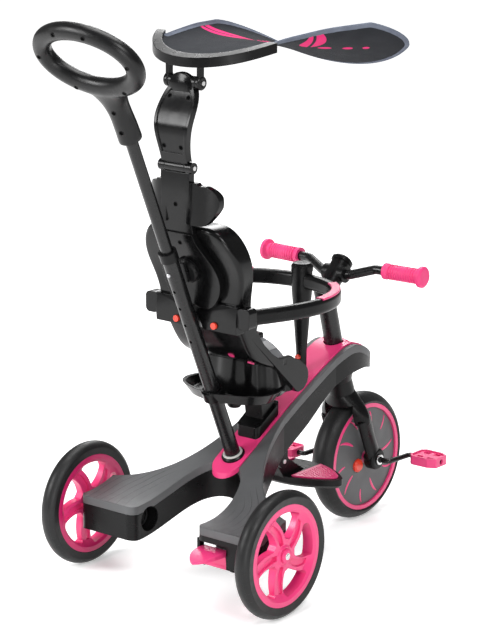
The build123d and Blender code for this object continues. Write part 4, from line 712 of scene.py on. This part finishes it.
def stitch_steps():
    """Thread stitches laid end to end along each line, with a short gap between them."""
    t = Steps("thread_stitches", Pitch=0.0050, Thread=0.00055, Share=0.34)
    line = t.add("GeometryNodeMeshToCurve", ("Mesh", t.given["Geometry"]))
    even = t.add("GeometryNodeResampleCurve", ("Curve", line.outputs[0]), ("Length", t.given["Pitch"]), mode="LENGTH")
    bead = t.add("GeometryNodeMeshUVSphere", ("Segments", 6), ("Rings", 5), ("Radius", 1.0))
    half = t.times(t.given["Pitch"], t.given["Share"])
    shaped = t.add(
        "GeometryNodeTransform",
        ("Geometry", bead.outputs[0]),
        ("Scale", t.vector(t.given["Thread"], t.given["Thread"], half)),
    )
    t.finish(even.outputs[0], shaped.outputs[0], t.along())
    return t


def chains(lines):
    """Points and edges of a set of open lines, as one list each."""
    points, edges = [], []
    for line in lines:
        start = len(points)
        points += line
        edges += [(start + i, start + i + 1) for i in range(len(line) - 1)]
    return points, edges


# Canopy: one stretched saddle of cloth, bound along its sides and front
CANOPY_RIGHT = Vector((386.0, 222.0, 1008.0))
CANOPY_LEFT = Vector((386.0, 158.0, 978.0))
CANOPY_FRONT = (465.0, 898.0)
CANOPY_BINDING = 0.0085
BOW_RADIUS = 125.37
BOW_MIDDLE, BOW_END, BOW_BACK = 146, 92, 9
BOW_HEIGHT, BOW_RISE = 955, 24
CANOPY_WAIST = {-1: (78.0, 993.0), 1: (150.0, 992.0)}


def canopy_rear(a):
    turn = a * math.acos((BOW_MIDDLE - BOW_END) / BOW_RADIUS)
    x = BOW_MIDDLE - BOW_RADIUS * math.cos(turn)
    height = BOW_HEIGHT + BOW_RISE * (x - BOW_BACK) / (BOW_END - BOW_BACK)
    return Vector((x, BOW_RADIUS * math.sin(turn), height))


def canopy_front(a):
    inner = max(0.0, 1 - a * a)
    corner = CANOPY_RIGHT.lerp(CANOPY_LEFT, (a + 1) / 2)
    x = corner.x + (CANOPY_FRONT[0] - corner.x) * inner**0.78
    return Vector((x, corner.y * a, corner.z + (CANOPY_FRONT[1] - corner.z) * inner**0.55))


def canopy_side(s, hand):
    start, end = canopy_rear(hand), canopy_front(hand)
    across, height = CANOPY_WAIST[hand]
    waist = Vector(((start.x + end.x) / 2, across * hand, height))
    return start * (1 - s) ** 2 + waist * 2 * s * (1 - s) + end * s * s


def canopy_point(s, a):
    """A place on the cloth: s from the rear bow to the front edge, a from right to left."""
    t = (a + 1) / 2
    ruled = canopy_rear(a) * (1 - s) + canopy_front(a) * s
    sides = canopy_side(s, -1) * (1 - t) + canopy_side(s, 1) * t
    ends = canopy_rear(-1) * (1 - s) * (1 - t) + canopy_rear(1) * (1 - s) * t
    ends += canopy_front(-1) * s * (1 - t) + canopy_front(1) * s * t
    point = ruled + sides - ends
    belly, lift_off_bow = 25, 1.4
    point.z += belly * math.sin(math.pi * s) * (1 - a * a)
    point.z += lift_off_bow * (1 - s) ** 10
    ripple = math.sin(math.pi * s) ** 2
    point.z += 0.7 * math.sin(a * 8.0 + s * 3.0) * ripple + 0.4 * math.sin(s * 17.0 - a * 5.0) * ripple
    return point


def canopy_reach(s, hand):
    """How far across the cloth goes: it rounds its two front corners, the left one more than the right."""
    turn_in, round_from = (0.26, 0.62) if hand > 0 else (0.17, 0.78)
    past = max(0.0, (s - round_from) / (1 - round_from))
    return 1 - turn_in * (1 - math.sqrt(max(0.0, 1 - past * past)))


def canopy_look():
    g = Graph("canopy_cloth")
    u, v, w = g.axes("UV")
    cloth = weave(g, u, v, (0.036, 0.038, 0.043), 0.0009, 0.85, 0.0)
    g.set(Specular_IOR_Level=0.04)
    side = g.math("ABSOLUTE", v)

    def disc(cx, cy, radius):
        away = g.distance(g.minus(u, cx), g.minus(side, cy))
        return g.math("LESS_THAN", away, radius)

    leaf = g.times(disc(0.195, 0.062, 0.085), disc(0.290, 0.142, 0.085))
    vein_run = g.plus(g.times(g.minus(u, 0.2425), 0.765), g.times(g.minus(side, 0.102), 0.644))
    vein = g.near(vein_run, 0.0, 0.003)
    motif = g.times(leaf, g.minus(1.0, vein))
    for cx, cy, radius in ((0.305, 0.070, 0.011), (0.333, 0.093, 0.008), (0.355, 0.113, 0.006)):
        motif = g.math("MAXIMUM", motif, disc(cx, cy, radius))
    printed = g.mix(motif, cloth, shade(PINK, 0.92))
    edge = g.add("ShaderNodeAttribute", attribute_name="edge").outputs["Fac"]
    tape = g.mix(g.span(g.noise(40.0), 0.0, 1.0), (0.125, 0.14, 0.18), (0.17, 0.19, 0.235))
    g.colour(g.mix(g.math("LESS_THAN", edge, CANOPY_BINDING), printed, tape))
    return g.material


def canopy_cloth():
    rows, columns = 92, 104
    verts, flat = [], []
    for i in range(rows + 1):
        along = i / rows
        s = 1 - (1 - along) ** 1.45
        previous, run = None, 0.0
        for j in range(columns + 1):
            even = j / columns
            spread = 2 * (even - 0.78 * math.sin(2 * math.pi * even) / (2 * math.pi)) - 1
            spot = canopy_point(s, spread * canopy_reach(s, 1 if even > 0.5 else -1))
            verts.append(place(*spot))
            run += (spot - previous).length if previous else 0.0
            previous = spot
            flat.append([(spot.x - BOW_BACK) / 1000, run / 1000])
        for j in range(columns + 1):
            flat[-1 - j][1] -= run / 2000
    wide = columns + 1
    border = [i * wide for i in range(rows + 1)]
    border += [rows * wide + j for j in range(columns + 1)]
    border += [i * wide + columns for i in range(rows, -1, -1)]
    tree = KDTree(4 * len(border))
    rim = []
    for a, b in zip(border, border[1:]):
        for step in range(4):
            rim.append(verts[a].lerp(verts[b], step / 4))
    for index, spot in enumerate(rim):
        tree.insert(spot, index)
    tree.balance()
    edge = [tree.find(spot)[2] for spot in verts]
    piece = new_piece("canopy_cloth", verts, grid_faces(rows, columns), canopy_look())
    lay_flat(piece, flat)
    piece.data.attributes.new("edge", "FLOAT", "POINT").data.foreach_set("value", edge)
    bound = piece.vertex_groups.new(name="bound")
    bound.add([i for i, away in enumerate(edge) if away < CANOPY_BINDING], 1.0, "REPLACE")
    thick = thicken(piece, 0.0034)
    thick.vertex_group = "bound"
    thick.thickness_vertex_group = 0.6
    settle(piece)
    give(piece, "canopy", "canopy_fabric", "canopy_sheet")


canopy_cloth()


# Seat liner: a padded fabric piece, swollen by a cloth simulation and then sewn down
PAD_CHANNELS = (455, 515, 575, 630)
CHANNEL_LEAN = math.radians(22)
CHANNEL_X, CHANNEL_DEPTH, CHANNEL_WIDTH = 60, 0.0042, 4.5
SEAT_CHANNELS = (150, 195)
PAD_FACING = Vector((0.72, 0, 0.69))


def pad_look():
    g = Graph("pad_fabric")
    x, y, z = g.axes()
    slope = g.times(g.minus(x, z), 0.707)
    cloth = weave(g, y, slope, (0.030, 0.031, 0.034), 0.0013, 0.8, 0.35)
    rub = g.span(g.noise(14.0, 3.0), 0.0, 0.35)
    g.colour(g.mix(rub, cloth, (0.055, 0.056, 0.060)))
    return g.material


def start_shape(name, look):
    """The liner's solid, merged, drawn in by a little and remeshed evenly."""
    mesh = nodes[name].data.copy()
    bm = bmesh.new()
    bm.from_mesh(mesh)
    bmesh.ops.remove_doubles(bm, verts=bm.verts, dist=1e-5)
    bm.normal_update()
    for vert in bm.verts:
        vert.co -= vert.normal * 0.0022
    bm.to_mesh(mesh)
    bm.free()
    mesh.materials.clear()
    piece = show("seat_liner", mesh, look)
    even_out(piece, 0.005, 4)
    return settle(piece)


def swell(piece, cap, under):
    """Blow the piece up as cloth, and keep each point within a short way of its start."""
    start = [vert.co.copy() for vert in piece.data.vertices]
    normals = [vert.normal.copy() for vert in piece.data.vertices]
    cloth = piece.modifiers.new("cloth", "CLOTH")
    cloth.settings.quality = 5
    cloth.settings.mass = 0.3
    cloth.settings.use_pressure = True
    cloth.settings.uniform_pressure_force = 4.0
    cloth.settings.effector_weights.gravity = 0.0
    cloth.point_cache.frame_start = 1
    cloth.point_cache.frame_end = 20
    for step in range(1, 21):
        scene.frame_set(step)
    view = bpy.context.evaluated_depsgraph_get()
    swollen = [vert.co.copy() for vert in piece.evaluated_get(view).data.vertices]
    piece.modifiers.clear()
    scene.frame_set(1)
    for vert, old, new, normal in zip(piece.data.vertices, start, swollen, normals):
        most = under if normal.dot(PAD_FACING) < -0.1 else cap
        move = new - old
        vert.co = old + move * min(1.0, most / max(move.length, 1e-9))


def channel_depth(spot):
    """How deep the sewn channels draw the liner in at a place."""
    x, z = (spot.x - REAR_AXLE) * 1000, spot.z * 1000
    away = 40.0
    for height in PAD_CHANNELS:
        across = (x - CHANNEL_X) * math.sin(CHANNEL_LEAN) + (z - height) * math.cos(CHANNEL_LEAN)
        away = min(away, abs(across))
    if z < 440:
        for run in SEAT_CHANNELS:
            away = min(away, abs(x - run))
    return CHANNEL_DEPTH * math.exp(-((away / CHANNEL_WIDTH) ** 2))


def sew(piece):
    for vert in piece.data.vertices:
        if vert.normal.dot(PAD_FACING) > 0.15:
            vert.co -= vert.normal * channel_depth(vert.co)


def seat_liner():
    piece = start_shape("seat_pad", pad_look())
    swell(piece, 0.006, 0.0006)
    finer = piece.modifiers.new("finer", "SUBSURF")
    finer.levels = 1
    finer.render_levels = 1
    settle(piece)
    sew(piece)
    smooth_shaded(piece.data)
    piece.data.update()
    give(piece, "frame", "pad_fabric", "seat_pad")
    return piece


def liner_seams(liner):
    """Lines of thread along the floor of each sewn channel."""
    surface = skin(liner)
    lean = Vector((math.cos(CHANNEL_LEAN), 0, -math.sin(CHANNEL_LEAN)))
    starts = [(Vector((CHANNEL_X, 0, height)) + lean * 190, -lean) for height in PAD_CHANNELS]
    starts += [(Vector((run, 0, 520)), Vector((0, 0, -1))) for run in SEAT_CHANNELS]
    lines = []
    for start, way in starts:
        line = []
        for y in range(-96, 97, 4):
            spot, normal, face, away = surface.ray_cast(place(start.x, y, start.z), way, 0.2)
            if spot is not None and normal.dot(PAD_FACING) > 0.5:
                line.append(spot + normal * 0.0003)
        if len(line) > 4:
            lines.append(line)
    return lines


liner = seat_liner()
thread_look = moulded("liner_thread", (0.16, 0.16, 0.17), rough=0.6, grain=2600.0)
stitches = stitch_steps()
points, edges = chains(liner_seams(liner))
give(stitches.make("liner_stitches", points, thread_look, edges=edges), "frame", "pad_fabric")


# Lap belt: flat webbing that arches over the liner, with a pull tab
def webbing_look():
    g = Graph("webbing")
    u, v, w = g.axes("UV")
    ribs = g.span(g.math("SINE", g.times(u, 2 * math.pi / 0.0026)), 0.0, 1.0, -0.8, 0.8)
    grey = (0.33, 0.34, 0.36)
    cloth = weave(g, u, v, grey, 0.0007, 0.72, 0.25, 0.0002)
    selvedge = g.math("GREATER_THAN", g.math("ABSOLUTE", u), 0.0128)
    g.colour(g.mix(selvedge, g.mix(ribs, shade(grey, 0.7), cloth), (0.46, 0.47, 0.49)))
    return g.material


def strap(name, look, centre, width, thickness, along=64, across=10):
    """A flat strip along a line of (y, z) points at one x, crowned a little across its width."""
    verts, flat = [], []
    run = 0.0
    for i in range(along + 1):
        y, z = centre(i / along)
        if i:
            run += math.hypot(y - last[0], z - last[1])
        last = (y, z)
        for j in range(across + 1):
            u = -1 + 2 * j / across
            verts.append(place(BELT_X + u * width / 2, y, z - 0.5 * u * u))
            flat.append((u * width / 2000, run / 1000))
    piece = new_piece(name, verts, grid_faces(along, across), look)
    lay_flat(piece, flat)
    thicken(piece, thickness / 1000)
    ease_edges(piece, 0.0005)
    return settle(piece)


def belt_line(lift):
    """The belt's arch from one side of the bucket to the other, as (y, z)."""
    half, rise = 77.5, 36.0
    radius = (half * half + rise * rise) / (2 * rise)
    spread = math.asin(half / radius)

    def at(t):
        turn = (2 * t - 1) * spread
        return (radius + lift) * math.sin(turn), 395.5 + rise - radius + (radius + lift) * math.cos(turn)

    return at


webbing = webbing_look()
belt = strap("lap_belt_webbing", webbing, belt_line(0.0), 29.0, 2.0)
give(belt, "frame", "webbing", "lap_belt")
tab_look = moulded("white_tab", (0.62, 0.63, 0.64), rough=0.6, grain=2200.0)
tab = strap("belt_tab", tab_look, lambda t: belt_line(1.9)(0.16 + 0.13 * t), 20.0, 1.4, along=16)
give(tab, "frame", "webbing")
seam_lines = []
for edge_x in (-11.5, 11.5):
    for first, final in ((0.02, 0.34), (0.66, 0.98)):
        arch = [belt_line(1.15)(first + (final - first) * step / 30) for step in range(31)]
        seam_lines.append([place(BELT_X + edge_x, y, z - 0.3) for y, z in arch])
points, edges = chains(seam_lines)
belt_thread = moulded("belt_thread", (0.55, 0.56, 0.58), rough=0.6, grain=2600.0)
give(stitches.make("belt_stitches", points, belt_thread, edges=edges, Pitch=0.0034), "frame", "webbing")


# Rings and buttons turned in metal and pale plastic
POLE_FOOT = place(*POLE_HOLE)
POLE_LEAN = math.radians(23.9)
POLE_AXIS = Vector((-math.sin(POLE_LEAN), 0, math.cos(POLE_LEAN)))
RAKE = math.radians(15.5)
STEER_FORWARD = Vector((math.cos(RAKE), 0, math.sin(RAKE)))
STEER_UP = Vector((-math.sin(RAKE), 0, math.cos(RAKE)))
STEER_FOOT = place(*FRONT_HUB) - STEER_FORWARD * 0.012

SEAL_PROFILE = [(14.1, 5.5), (18.8, 5.5), (18.2, 7.6), (14.1, 8.0)]
AXLE_PROFILE = [(0.001, -1.5), (4.6, -1.5), (4.6, 0.2), (3.4, 0.7), (0.001, 0.9)]
WASHER_PROFILE = [(6.2, -0.5), (10.5, -0.5), (10.2, 1.2), (6.2, 1.4)]


def outer_face(node, hand):
    """How far out a node reaches on one side."""
    low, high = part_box(node)
    return high[1] if hand > 0 else low[1]


pole_seal = lathe("pole_seal", looks["bush_plastic"], SEAL_PROFILE, POLE_FOOT, POLE_AXIS)
give(pole_seal, "frame", "bush_plastic")
for hand, word in HANDS:
    end = Vector((REAR_AXLE, outer_face("rear_hub_cap_" + word, hand), REAR_HUB_HEIGHT))
    nut = lathe("axle_end_" + word, looks["steel"], AXLE_PROFILE, end, (0, hand, 0), 24)
    give(nut, "frame", "steel")
    end = Vector((place(*FRONT_HUB).x, outer_face("fork", hand), 0.125))
    washer = lathe("fork_washer_" + word, looks["steel"], WASHER_PROFILE, end, (0, hand, 0), 32)
    give(washer, "steering", "steel")


# Loop handle: an oval grip that flows into the socket on the pole
HANDLE_MIDDLE = Vector((-230.3, 0, 983.7))
HANDLE_TILT = math.radians(37)
HANDLE_FACE = Vector((math.cos(HANDLE_TILT), 0, math.sin(HANDLE_TILT)))
HANDLE_RISE = Vector((-math.sin(HANDLE_TILT), 0, math.cos(HANDLE_TILT)))


def handle_place(across, up, out):
    """A place given from the middle of the loop: across it, up it, and out of its face."""
    return tuple(HANDLE_MIDDLE + Vector((0, across, 0)) + HANDLE_RISE * up + HANDLE_FACE * out)


def tube_between(rings, closed):
    """Faces of a tube through rings of points, capped at both ends unless it closes on itself."""
    count, turns = len(rings), len(rings[0])
    faces = []
    for i in range(count if closed else count - 1):
        after = (i + 1) % count
        for j in range(turns):
            k = (j + 1) % turns
            faces.append((i * turns + j, i * turns + k, after * turns + k, after * turns + j))
    if not closed:
        faces.append(tuple(range(turns)))
        faces.append(tuple((count - 1) * turns + j for j in range(turns)))
    return faces


def handle_look():
    """Satin black grip with the joint line between its two moulded halves."""
    g = Graph("black_handle")
    soft = g.rounded(0.001)
    x, y, z = g.axes()
    middle = place(*HANDLE_MIDDLE)
    out = g.plus(g.times(g.minus(x, middle.x), HANDLE_FACE.x), g.times(g.minus(z, middle.z), HANDLE_FACE.z))
    joint = g.near(out, 0.0, 0.0006)
    base = g.mottled(BLACK, 0.94, 1.1)
    g.colour(g.mix(joint, base, shade(BLACK, 0.4)))
    g.uneven(40.0, 0.26, 0.4, 5.0)
    fine = g.grain(1500.0, 0.0001, 0.5, soft)
    g.relief(g.bump(g.minus(1.0, joint), 0.0005, 0.7, fine))
    g.set(IOR=1.5, Specular_IOR_Level=0.26)
    return g.material


LOOP_WIDE, LOOP_HIGH, LOOP_DEEP = 98, 63, 15.5
NECK_FOOT, NECK_BEND, NECK_TOP = 679, 762, -64
SECTION = [(math.cos(2 * math.pi * j / 28), math.sin(2 * math.pi * j / 28)) for j in range(28)]


def loop_ring(angle):
    """The grip's section at one angle round the loop, a little thicker along its lower side."""
    thick = 16.5 + 1.6 * max(0.0, -math.sin(angle))
    outward = Vector((math.cos(angle) / LOOP_WIDE, math.sin(angle) / LOOP_HIGH)).normalized()
    ring = []
    for out, deep in SECTION:
        across = LOOP_WIDE * math.cos(angle) + outward.x * thick * out
        up = LOOP_HIGH * math.sin(angle) + outward.y * thick * out
        ring.append(handle_place(across, up, LOOP_DEEP * deep))
    return ring


def neck_ring(t):
    """The neck's section, from the round socket on the pole to the wide, flat root of the loop."""
    hole = Vector(POLE_HOLE)
    foot, bend = hole + POLE_AXIS * NECK_FOOT, hole + POLE_AXIS * NECK_BEND
    top = Vector(handle_place(0, NECK_TOP, 0))
    middle = foot * (1 - t) ** 2 + bend * 2 * t * (1 - t) + top * t * t
    along = ((bend - foot) * (1 - t) + (top - bend) * t).normalized()
    fore = Vector((0, 1, 0)).cross(along).normalized()
    wide = 21 + 33 * max(0.0, t - 0.35) ** 1.7 / 0.48
    deep = 21 - 6 * t
    return [tuple(middle + Vector((0, wide * out, 0)) + fore * deep * up) for out, up in SECTION]


def loop_handle():
    loop = [loop_ring(2 * math.pi * i / 96) for i in range(96)]
    neck = [neck_ring(i / 12) for i in range(13)]
    points = [place(*point) for ring in loop + neck for point in ring]
    start = len(loop) * len(SECTION)
    faces = tube_between(loop, True)
    faces += [tuple(start + index for index in face) for face in tube_between(neck, False)]
    piece = new_piece("loop_handle", points, faces, handle_look())
    face_outward(piece)
    even_out(piece, 0.0024, 14)
    settle(piece)
    return give(piece, "push_handle", "black_plastic", "handle_front_half", "handle_rear_half")


grip_loop = loop_handle()


# Headrest and seat shell: the CAD surfaces, trimmed to their moulded outline
def trimmed(name, node, look, operation, outlines, way):
    """A copy of a node's surface cut with straight prisms. An outline is given looking along X or along Y."""
    bm = bmesh.new()
    bm.from_mesh(nodes[node].data)
    bmesh.ops.remove_doubles(bm, verts=bm.verts, dist=1e-6)
    bm.verts.index_update()
    points = [vert.co.copy() for vert in bm.verts]
    faces = [tuple(vert.index for vert in face.verts) for face in bm.faces]
    bm.free()
    piece = new_piece(name, points, faces, look)
    tools = []
    for outline, low, high in outlines:
        rings = []
        for reach in (low, high):
            rings.append([place(reach, a, b) if way == "X" else place(a, reach, b) for a, b in outline])
        tool = new_piece("trim_tool", rings[0] + rings[1], tube_between(rings, False), look)
        face_outward(tool)
        cut = piece.modifiers.new("cut", "BOOLEAN")
        cut.operation = operation
        cut.solver = "EXACT"
        cut.object = tool
        tools.append(tool)
    bpy.context.view_layer.update()
    settle(piece)
    for tool in tools:
        bpy.data.objects.remove(tool)
    piece.data.shade_smooth()
    piece.data.set_sharp_from_angle(angle=math.radians(32))
    return give(piece, "frame", slot_of[node], node)


def rounded_outline(corners, steps=8):
    """A closed smooth line through the given corners."""
    count = len(corners)
    line = []
    for i in range(count):
        before, start, end, after = (Vector(corners[(i + k) % count]) for k in (-1, 0, 1, 2))
        for j in range(steps):
            t = j / steps
            bend = (2 * before - 5 * start + 4 * end - after) * t * t
            twist = (3 * start - before - 3 * end + after) * t**3
            line.append(tuple(0.5 * (2 * start + (end - before) * t + bend + twist)))
    return line


EAR = [(42, 664), (60, 676), (72, 694), (77, 712), (73, 730), (61, 742), (44, 749)]
ears = EAR + [(38, 800), (-38, 800)] + [(-y, z) for y, z in EAR[::-1]] + [(-38, 610), (38, 610)]
trimmed("headrest_shell", "headrest", seat_gloss, "INTERSECT", [(rounded_outline(ears), -260, 260)], "X")
FLANK = [(106, 472), (128, 441), (150, 420), (172, 406), (206, 405)]
FLANK += [(218, 397), (238, 390), (262, 420), (262, 530), (122, 530)]
trimmed("seat_bucket", "seat_shell", seat_gloss, "DIFFERENCE", [(FLANK, 60, 160), (FLANK, -160, -60)], "Y")


# Canopy hinge: round link bosses on the bow and a domed end on the arm
HINGE_X = 13
BOSS_PROFILE = [(4.3, 0), (11.5, 0), (12.5, 1.5), (12.5, 7.5), (10.5, 9.6), (4.3, 9.6)]
for hand, word in HANDS:
    seat = place(HINGE_X, hand * 30.6, 918)
    boss = lathe("canopy_link_" + word, seat_gloss, BOSS_PROFILE, seat, (0, hand, 0), 36)
    give(boss, "canopy", "black_plastic")


def arm_dome():
    """Rounded end of the arm that covers the middle of the hinge barrel from behind."""
    outline = [(math.cos(a), math.sin(a)) for a in (math.pi * i / 24 for i in range(25))]
    outline = [(-1.0, -0.9)] + outline[::-1] + [(1.0, -0.9)]
    rings = []
    for out, size in ((-11.5, 0.90), (-10.0, 0.97), (-8.5, 1.0), (-2.0, 1.0), (0.0, 0.96)):
        ring = []
        for a, b in outline:
            rise = (23.0 * b if b > 0 else 22.0 * b) * size
            ring.append(tuple(place(HINGE_X + out, 27.5 * size * a, 912 + rise)))
        rings.append(ring)
    points = [point for ring in rings for point in ring]
    piece = new_piece("canopy_arm_dome", points, tube_between(rings, False), seat_gloss)
    face_outward(piece)
    return give(piece, "canopy_support", "black_plastic")


arm_dome()


# Front wheel: coloured inlays that fill the curved slots of the two cover discs
INLAYS = ((0.0, 49, 90, 9.0, 3.4), (0.42, 64, 93, 7.0, 2.7))


def disc_inlays():
    """Strips that curve outwards, given by their start, inner and outer radius, sweep and half width."""
    hub_x, hub_z = FRONT_HUB[0], FRONT_HUB[2]
    points, faces = [], []
    steps, across = 14, 4
    for hand in (-1, 1):
        for pair in range(5):
            for start, inner, outer, sweep, wide in INLAYS:
                first = len(points)
                for i in range(steps + 1):
                    t = i / steps
                    radius = inner + (outer - inner) * t
                    middle = math.radians(sweep * (0.2 * t + 0.8 * t * t) - 72.0 * (pair + start))
                    half_wide = wide * math.sin(math.pi * (0.06 + 0.86 * t)) ** 0.7 / radius
                    for j in range(across + 1):
                        u = -1 + 2 * j / across
                        angle = middle + half_wide * u
                        proud = 22.6 - 3 * (radius - 30) / 67 - 0.9 * u**6 - 0.9 * (2 * t - 1) ** 16
                        x, z = hub_x + radius * math.cos(angle), hub_z + radius * math.sin(angle)
                        points.append(place(x, hand * proud, z))
                for face in grid_faces(steps, across):
                    faces.append(tuple(first + index for index in (face if hand > 0 else face[::-1])))
    piece = new_piece("front_disc_inlays", points, faces, looks["pink_plastic"])
    face_outward(piece)
    thicken(piece, 0.0012, -1)
    settle(piece)
    return give(piece, "front_wheel", "pink_plastic")


disc_inlays()


# Screws in their wells, tread studs and grip ribs
def on_surface(piece, spots, way):
    """Where rays that start at the given places meet a piece, with the surface's own direction."""
    surface = skin(piece)
    found, facing = [], []
    for spot in spots:
        hit, normal, face, away = surface.ray_cast(place(*spot), Vector(way).normalized(), 0.6)
        if hit is not None:
            found.append(hit)
            facing.append(normal)
    return found, facing


screws = screw_steps()
wells = well_steps()
# The screw heads are painted near black and barely reflective, as painted shade for the wells they sit in.
screw_shade_look = moulded("screw_black_well_shade", shade(BLACK, 0.25), rough=0.8, level=0.05)
REAR_VIEW = (1, 0, 0)
handle_spots = ((-33, 64), (33, 64), (-97, 6), (97, 6), (-58, -56), (50, -58))
arm_spots = ((-21, 893), (21, 893), (-19, 809), (19, 809))
neck_spots = ((-4, 887), (-4, 851))
screw_places = [
    (nodes["canopy_arm"], "canopy_support", [(-120, y, z) for y, z in arm_spots], REAR_VIEW),
    (nodes["headrest"], "frame", [(-120, 0, 707)], REAR_VIEW),
    (nodes["back_plate"], "frame", [(-120, 0, 637)], REAR_VIEW),
    (grip_loop, "push_handle", [handle_place(across, up, -90) for across, up in handle_spots], HANDLE_FACE),
    (grip_loop, "push_handle", [(-420, y, z) for y, z in neck_spots], REAR_VIEW),
    (nodes["lever_brackets"], "frame", [(262, -120, 205)], (0, 1, 0)),
    (nodes["lever_brackets"], "frame", [(262, 120, 205)], (0, -1, 0)),
]
fasteners = {}
for carrier, body, spots, way in screw_places:
    found, facing = on_surface(carrier, spots, way)
    held = fasteners.setdefault(body, ([], []))
    held[0].extend(found)
    held[1].extend(facing)
for body, (found, facing) in fasteners.items():
    give(screws.make(body + "_screws", found, screw_shade_look, facing, Radius=0.0034, Height=0.0010), body, "steel")
    give(wells.make(body + "_screw_rims", found, looks["black_plastic"], facing), body, "black_plastic")

studs = stud_steps()
studs_piece = studs.make("footrest_studs", [place(0, 0, 0)], looks["pink_plastic"], Middle_X=0.325 + REAR_AXLE)
give(studs_piece, "footrest", "pink_plastic")

GRIP_HEIGHT = 0.3905
ribs = rib_steps()
grip_lines = []
for hand in (-1, 1):
    ends = []
    for forward_run, y in ((64.0, 113), (65.4, 168)):
        middle = STEER_FOOT + STEER_FORWARD * (forward_run / 1000) + STEER_UP * GRIP_HEIGHT
        ends.append(middle + Vector((0, hand * y / 1000, 0)))
    grip_lines.append(ends)
points, edges = chains(grip_lines)
give(ribs.make("grip_ribs", points, pink_grip, edges=edges), "steering", "pink_plastic")


# Camera at the photograph's place
CAMERA_YAW = math.radians(39.08)
CAMERA_PITCH = math.radians(14.45)
CAMERA_ROLL = math.radians(0.2)
CAMERA_PLACE = (-3317, -2828, 1621)
SENSOR, FOCAL_PIXELS, PICTURE_HEIGHT = 36.0, 2570.1, 640.0
camera_data = bpy.data.cameras.new("camera")
camera_data.sensor_fit = "AUTO"
camera_data.sensor_width = SENSOR
camera_data.lens = FOCAL_PIXELS * SENSOR / PICTURE_HEIGHT
camera = bpy.data.objects.new("camera", camera_data)
scene.collection.objects.link(camera)
forward = Vector(
    (
        math.cos(CAMERA_PITCH) * math.cos(CAMERA_YAW),
        math.cos(CAMERA_PITCH) * math.sin(CAMERA_YAW),
        -math.sin(CAMERA_PITCH),
    )
)
side = forward.cross(Vector((0, 0, 1))).normalized()
upward = side.cross(forward)
turn = Matrix((side, upward, -forward)).transposed().to_4x4()
roll = Matrix.Rotation(CAMERA_ROLL, 4, "Z")
camera.matrix_world = Matrix.Translation(place(*CAMERA_PLACE)) @ turn @ roll
scene.camera = camera


# Floor, backdrop and lights
FLOOR_GLOW, FAR_GLOW, FLOOR_HALF = 0.36, 0.85, 12.0
SKY_LIGHT = 0.22


def seen_directly(tree):
    """1 for what the camera sees straight, in a reflection or through glass, and 0 for bounced light."""
    path = tree.nodes.new("ShaderNodeLightPath")
    total = path.outputs["Is Camera Ray"]
    for name in ("Is Glossy Ray", "Is Transmission Ray"):
        both = tree.nodes.new("ShaderNodeMath")
        both.operation = "MAXIMUM"
        tree.links.new(total, both.inputs[0])
        tree.links.new(path.outputs[name], both.inputs[1])
        total = both.outputs[0]
    return total


def floor_look():
    g = Graph("floor_paper")
    tone = g.span(g.noise(2.0, 3.0), 0.0, 1.0)
    g.colour(g.mix(tone, (0.93, 0.93, 0.93), (0.96, 0.96, 0.96)))
    g.set(Roughness=0.9, Specular_IOR_Level=0.1)
    glow = g.add("ShaderNodeEmission")
    glow.inputs["Color"].default_value = (1, 1, 1, 1)
    x, y, z = g.axes()
    spread = g.span(g.distance(x, y), FLOOR_GLOW, FAR_GLOW, 0.9, 4.0)
    g.link(g.times(seen_directly(g.tree), spread), glow.inputs["Strength"])
    both = g.add("ShaderNodeAddShader")
    g.link(g.shader.outputs[0], both.inputs[0])
    g.link(glow.outputs[0], both.inputs[1])
    g.link(both.outputs[0], g.out.inputs[0])
    return g.material


corners = [(x * FLOOR_HALF, y * FLOOR_HALF, 0) for x, y in ((-1, -1), (1, -1), (1, 1), (-1, 1))]
floor = new_piece("floor", corners, [(0, 1, 2, 3)], floor_look())

world = bpy.data.worlds.new("studio")
scene.world = world
world.use_nodes = True
sky = world.node_tree.nodes["Background"]
sky.inputs[0].default_value = (1, 1, 1, 1)
level = world.node_tree.nodes.new("ShaderNodeMapRange")
path = world.node_tree.nodes.new("ShaderNodeLightPath")
world.node_tree.links.new(path.outputs["Is Camera Ray"], level.inputs["Value"])
level.inputs["To Min"].default_value = SKY_LIGHT
level.inputs["To Max"].default_value = 1.0
world.node_tree.links.new(level.outputs[0], sky.inputs[1])


def lamp(name, position, target, size, power):
    data = bpy.data.lights.new(name, "AREA")
    data.shape = "SQUARE"
    data.size = size
    data.energy = power
    lamp_object = bpy.data.objects.new(name, data)
    lamp_object.location = position
    lamp_object.rotation_euler = (Vector(target) - Vector(position)).to_track_quat("-Z", "Y").to_euler()
    scene.collection.objects.link(lamp_object)


lamp("key", (-1.6, -2.6, 3.2), (0, 0, 0.5), 1.3, 72)
lamp("fill", (-2.6, 1.6, 1.8), (0, 0, 0.5), 1.2, 72)
lamp("front", (-2.7, -2.1, 0.9), (0, 0, 0.4), 1.2, 30)
lamp("top", (0.4, 0.2, 3.4), (0, 0, 0.5), 2.0, 92)
lamp("rim", (2.4, 1.8, 2.2), (0, 0, 0.6), 1.4, 42)

scene.view_settings.view_transform = "Standard"
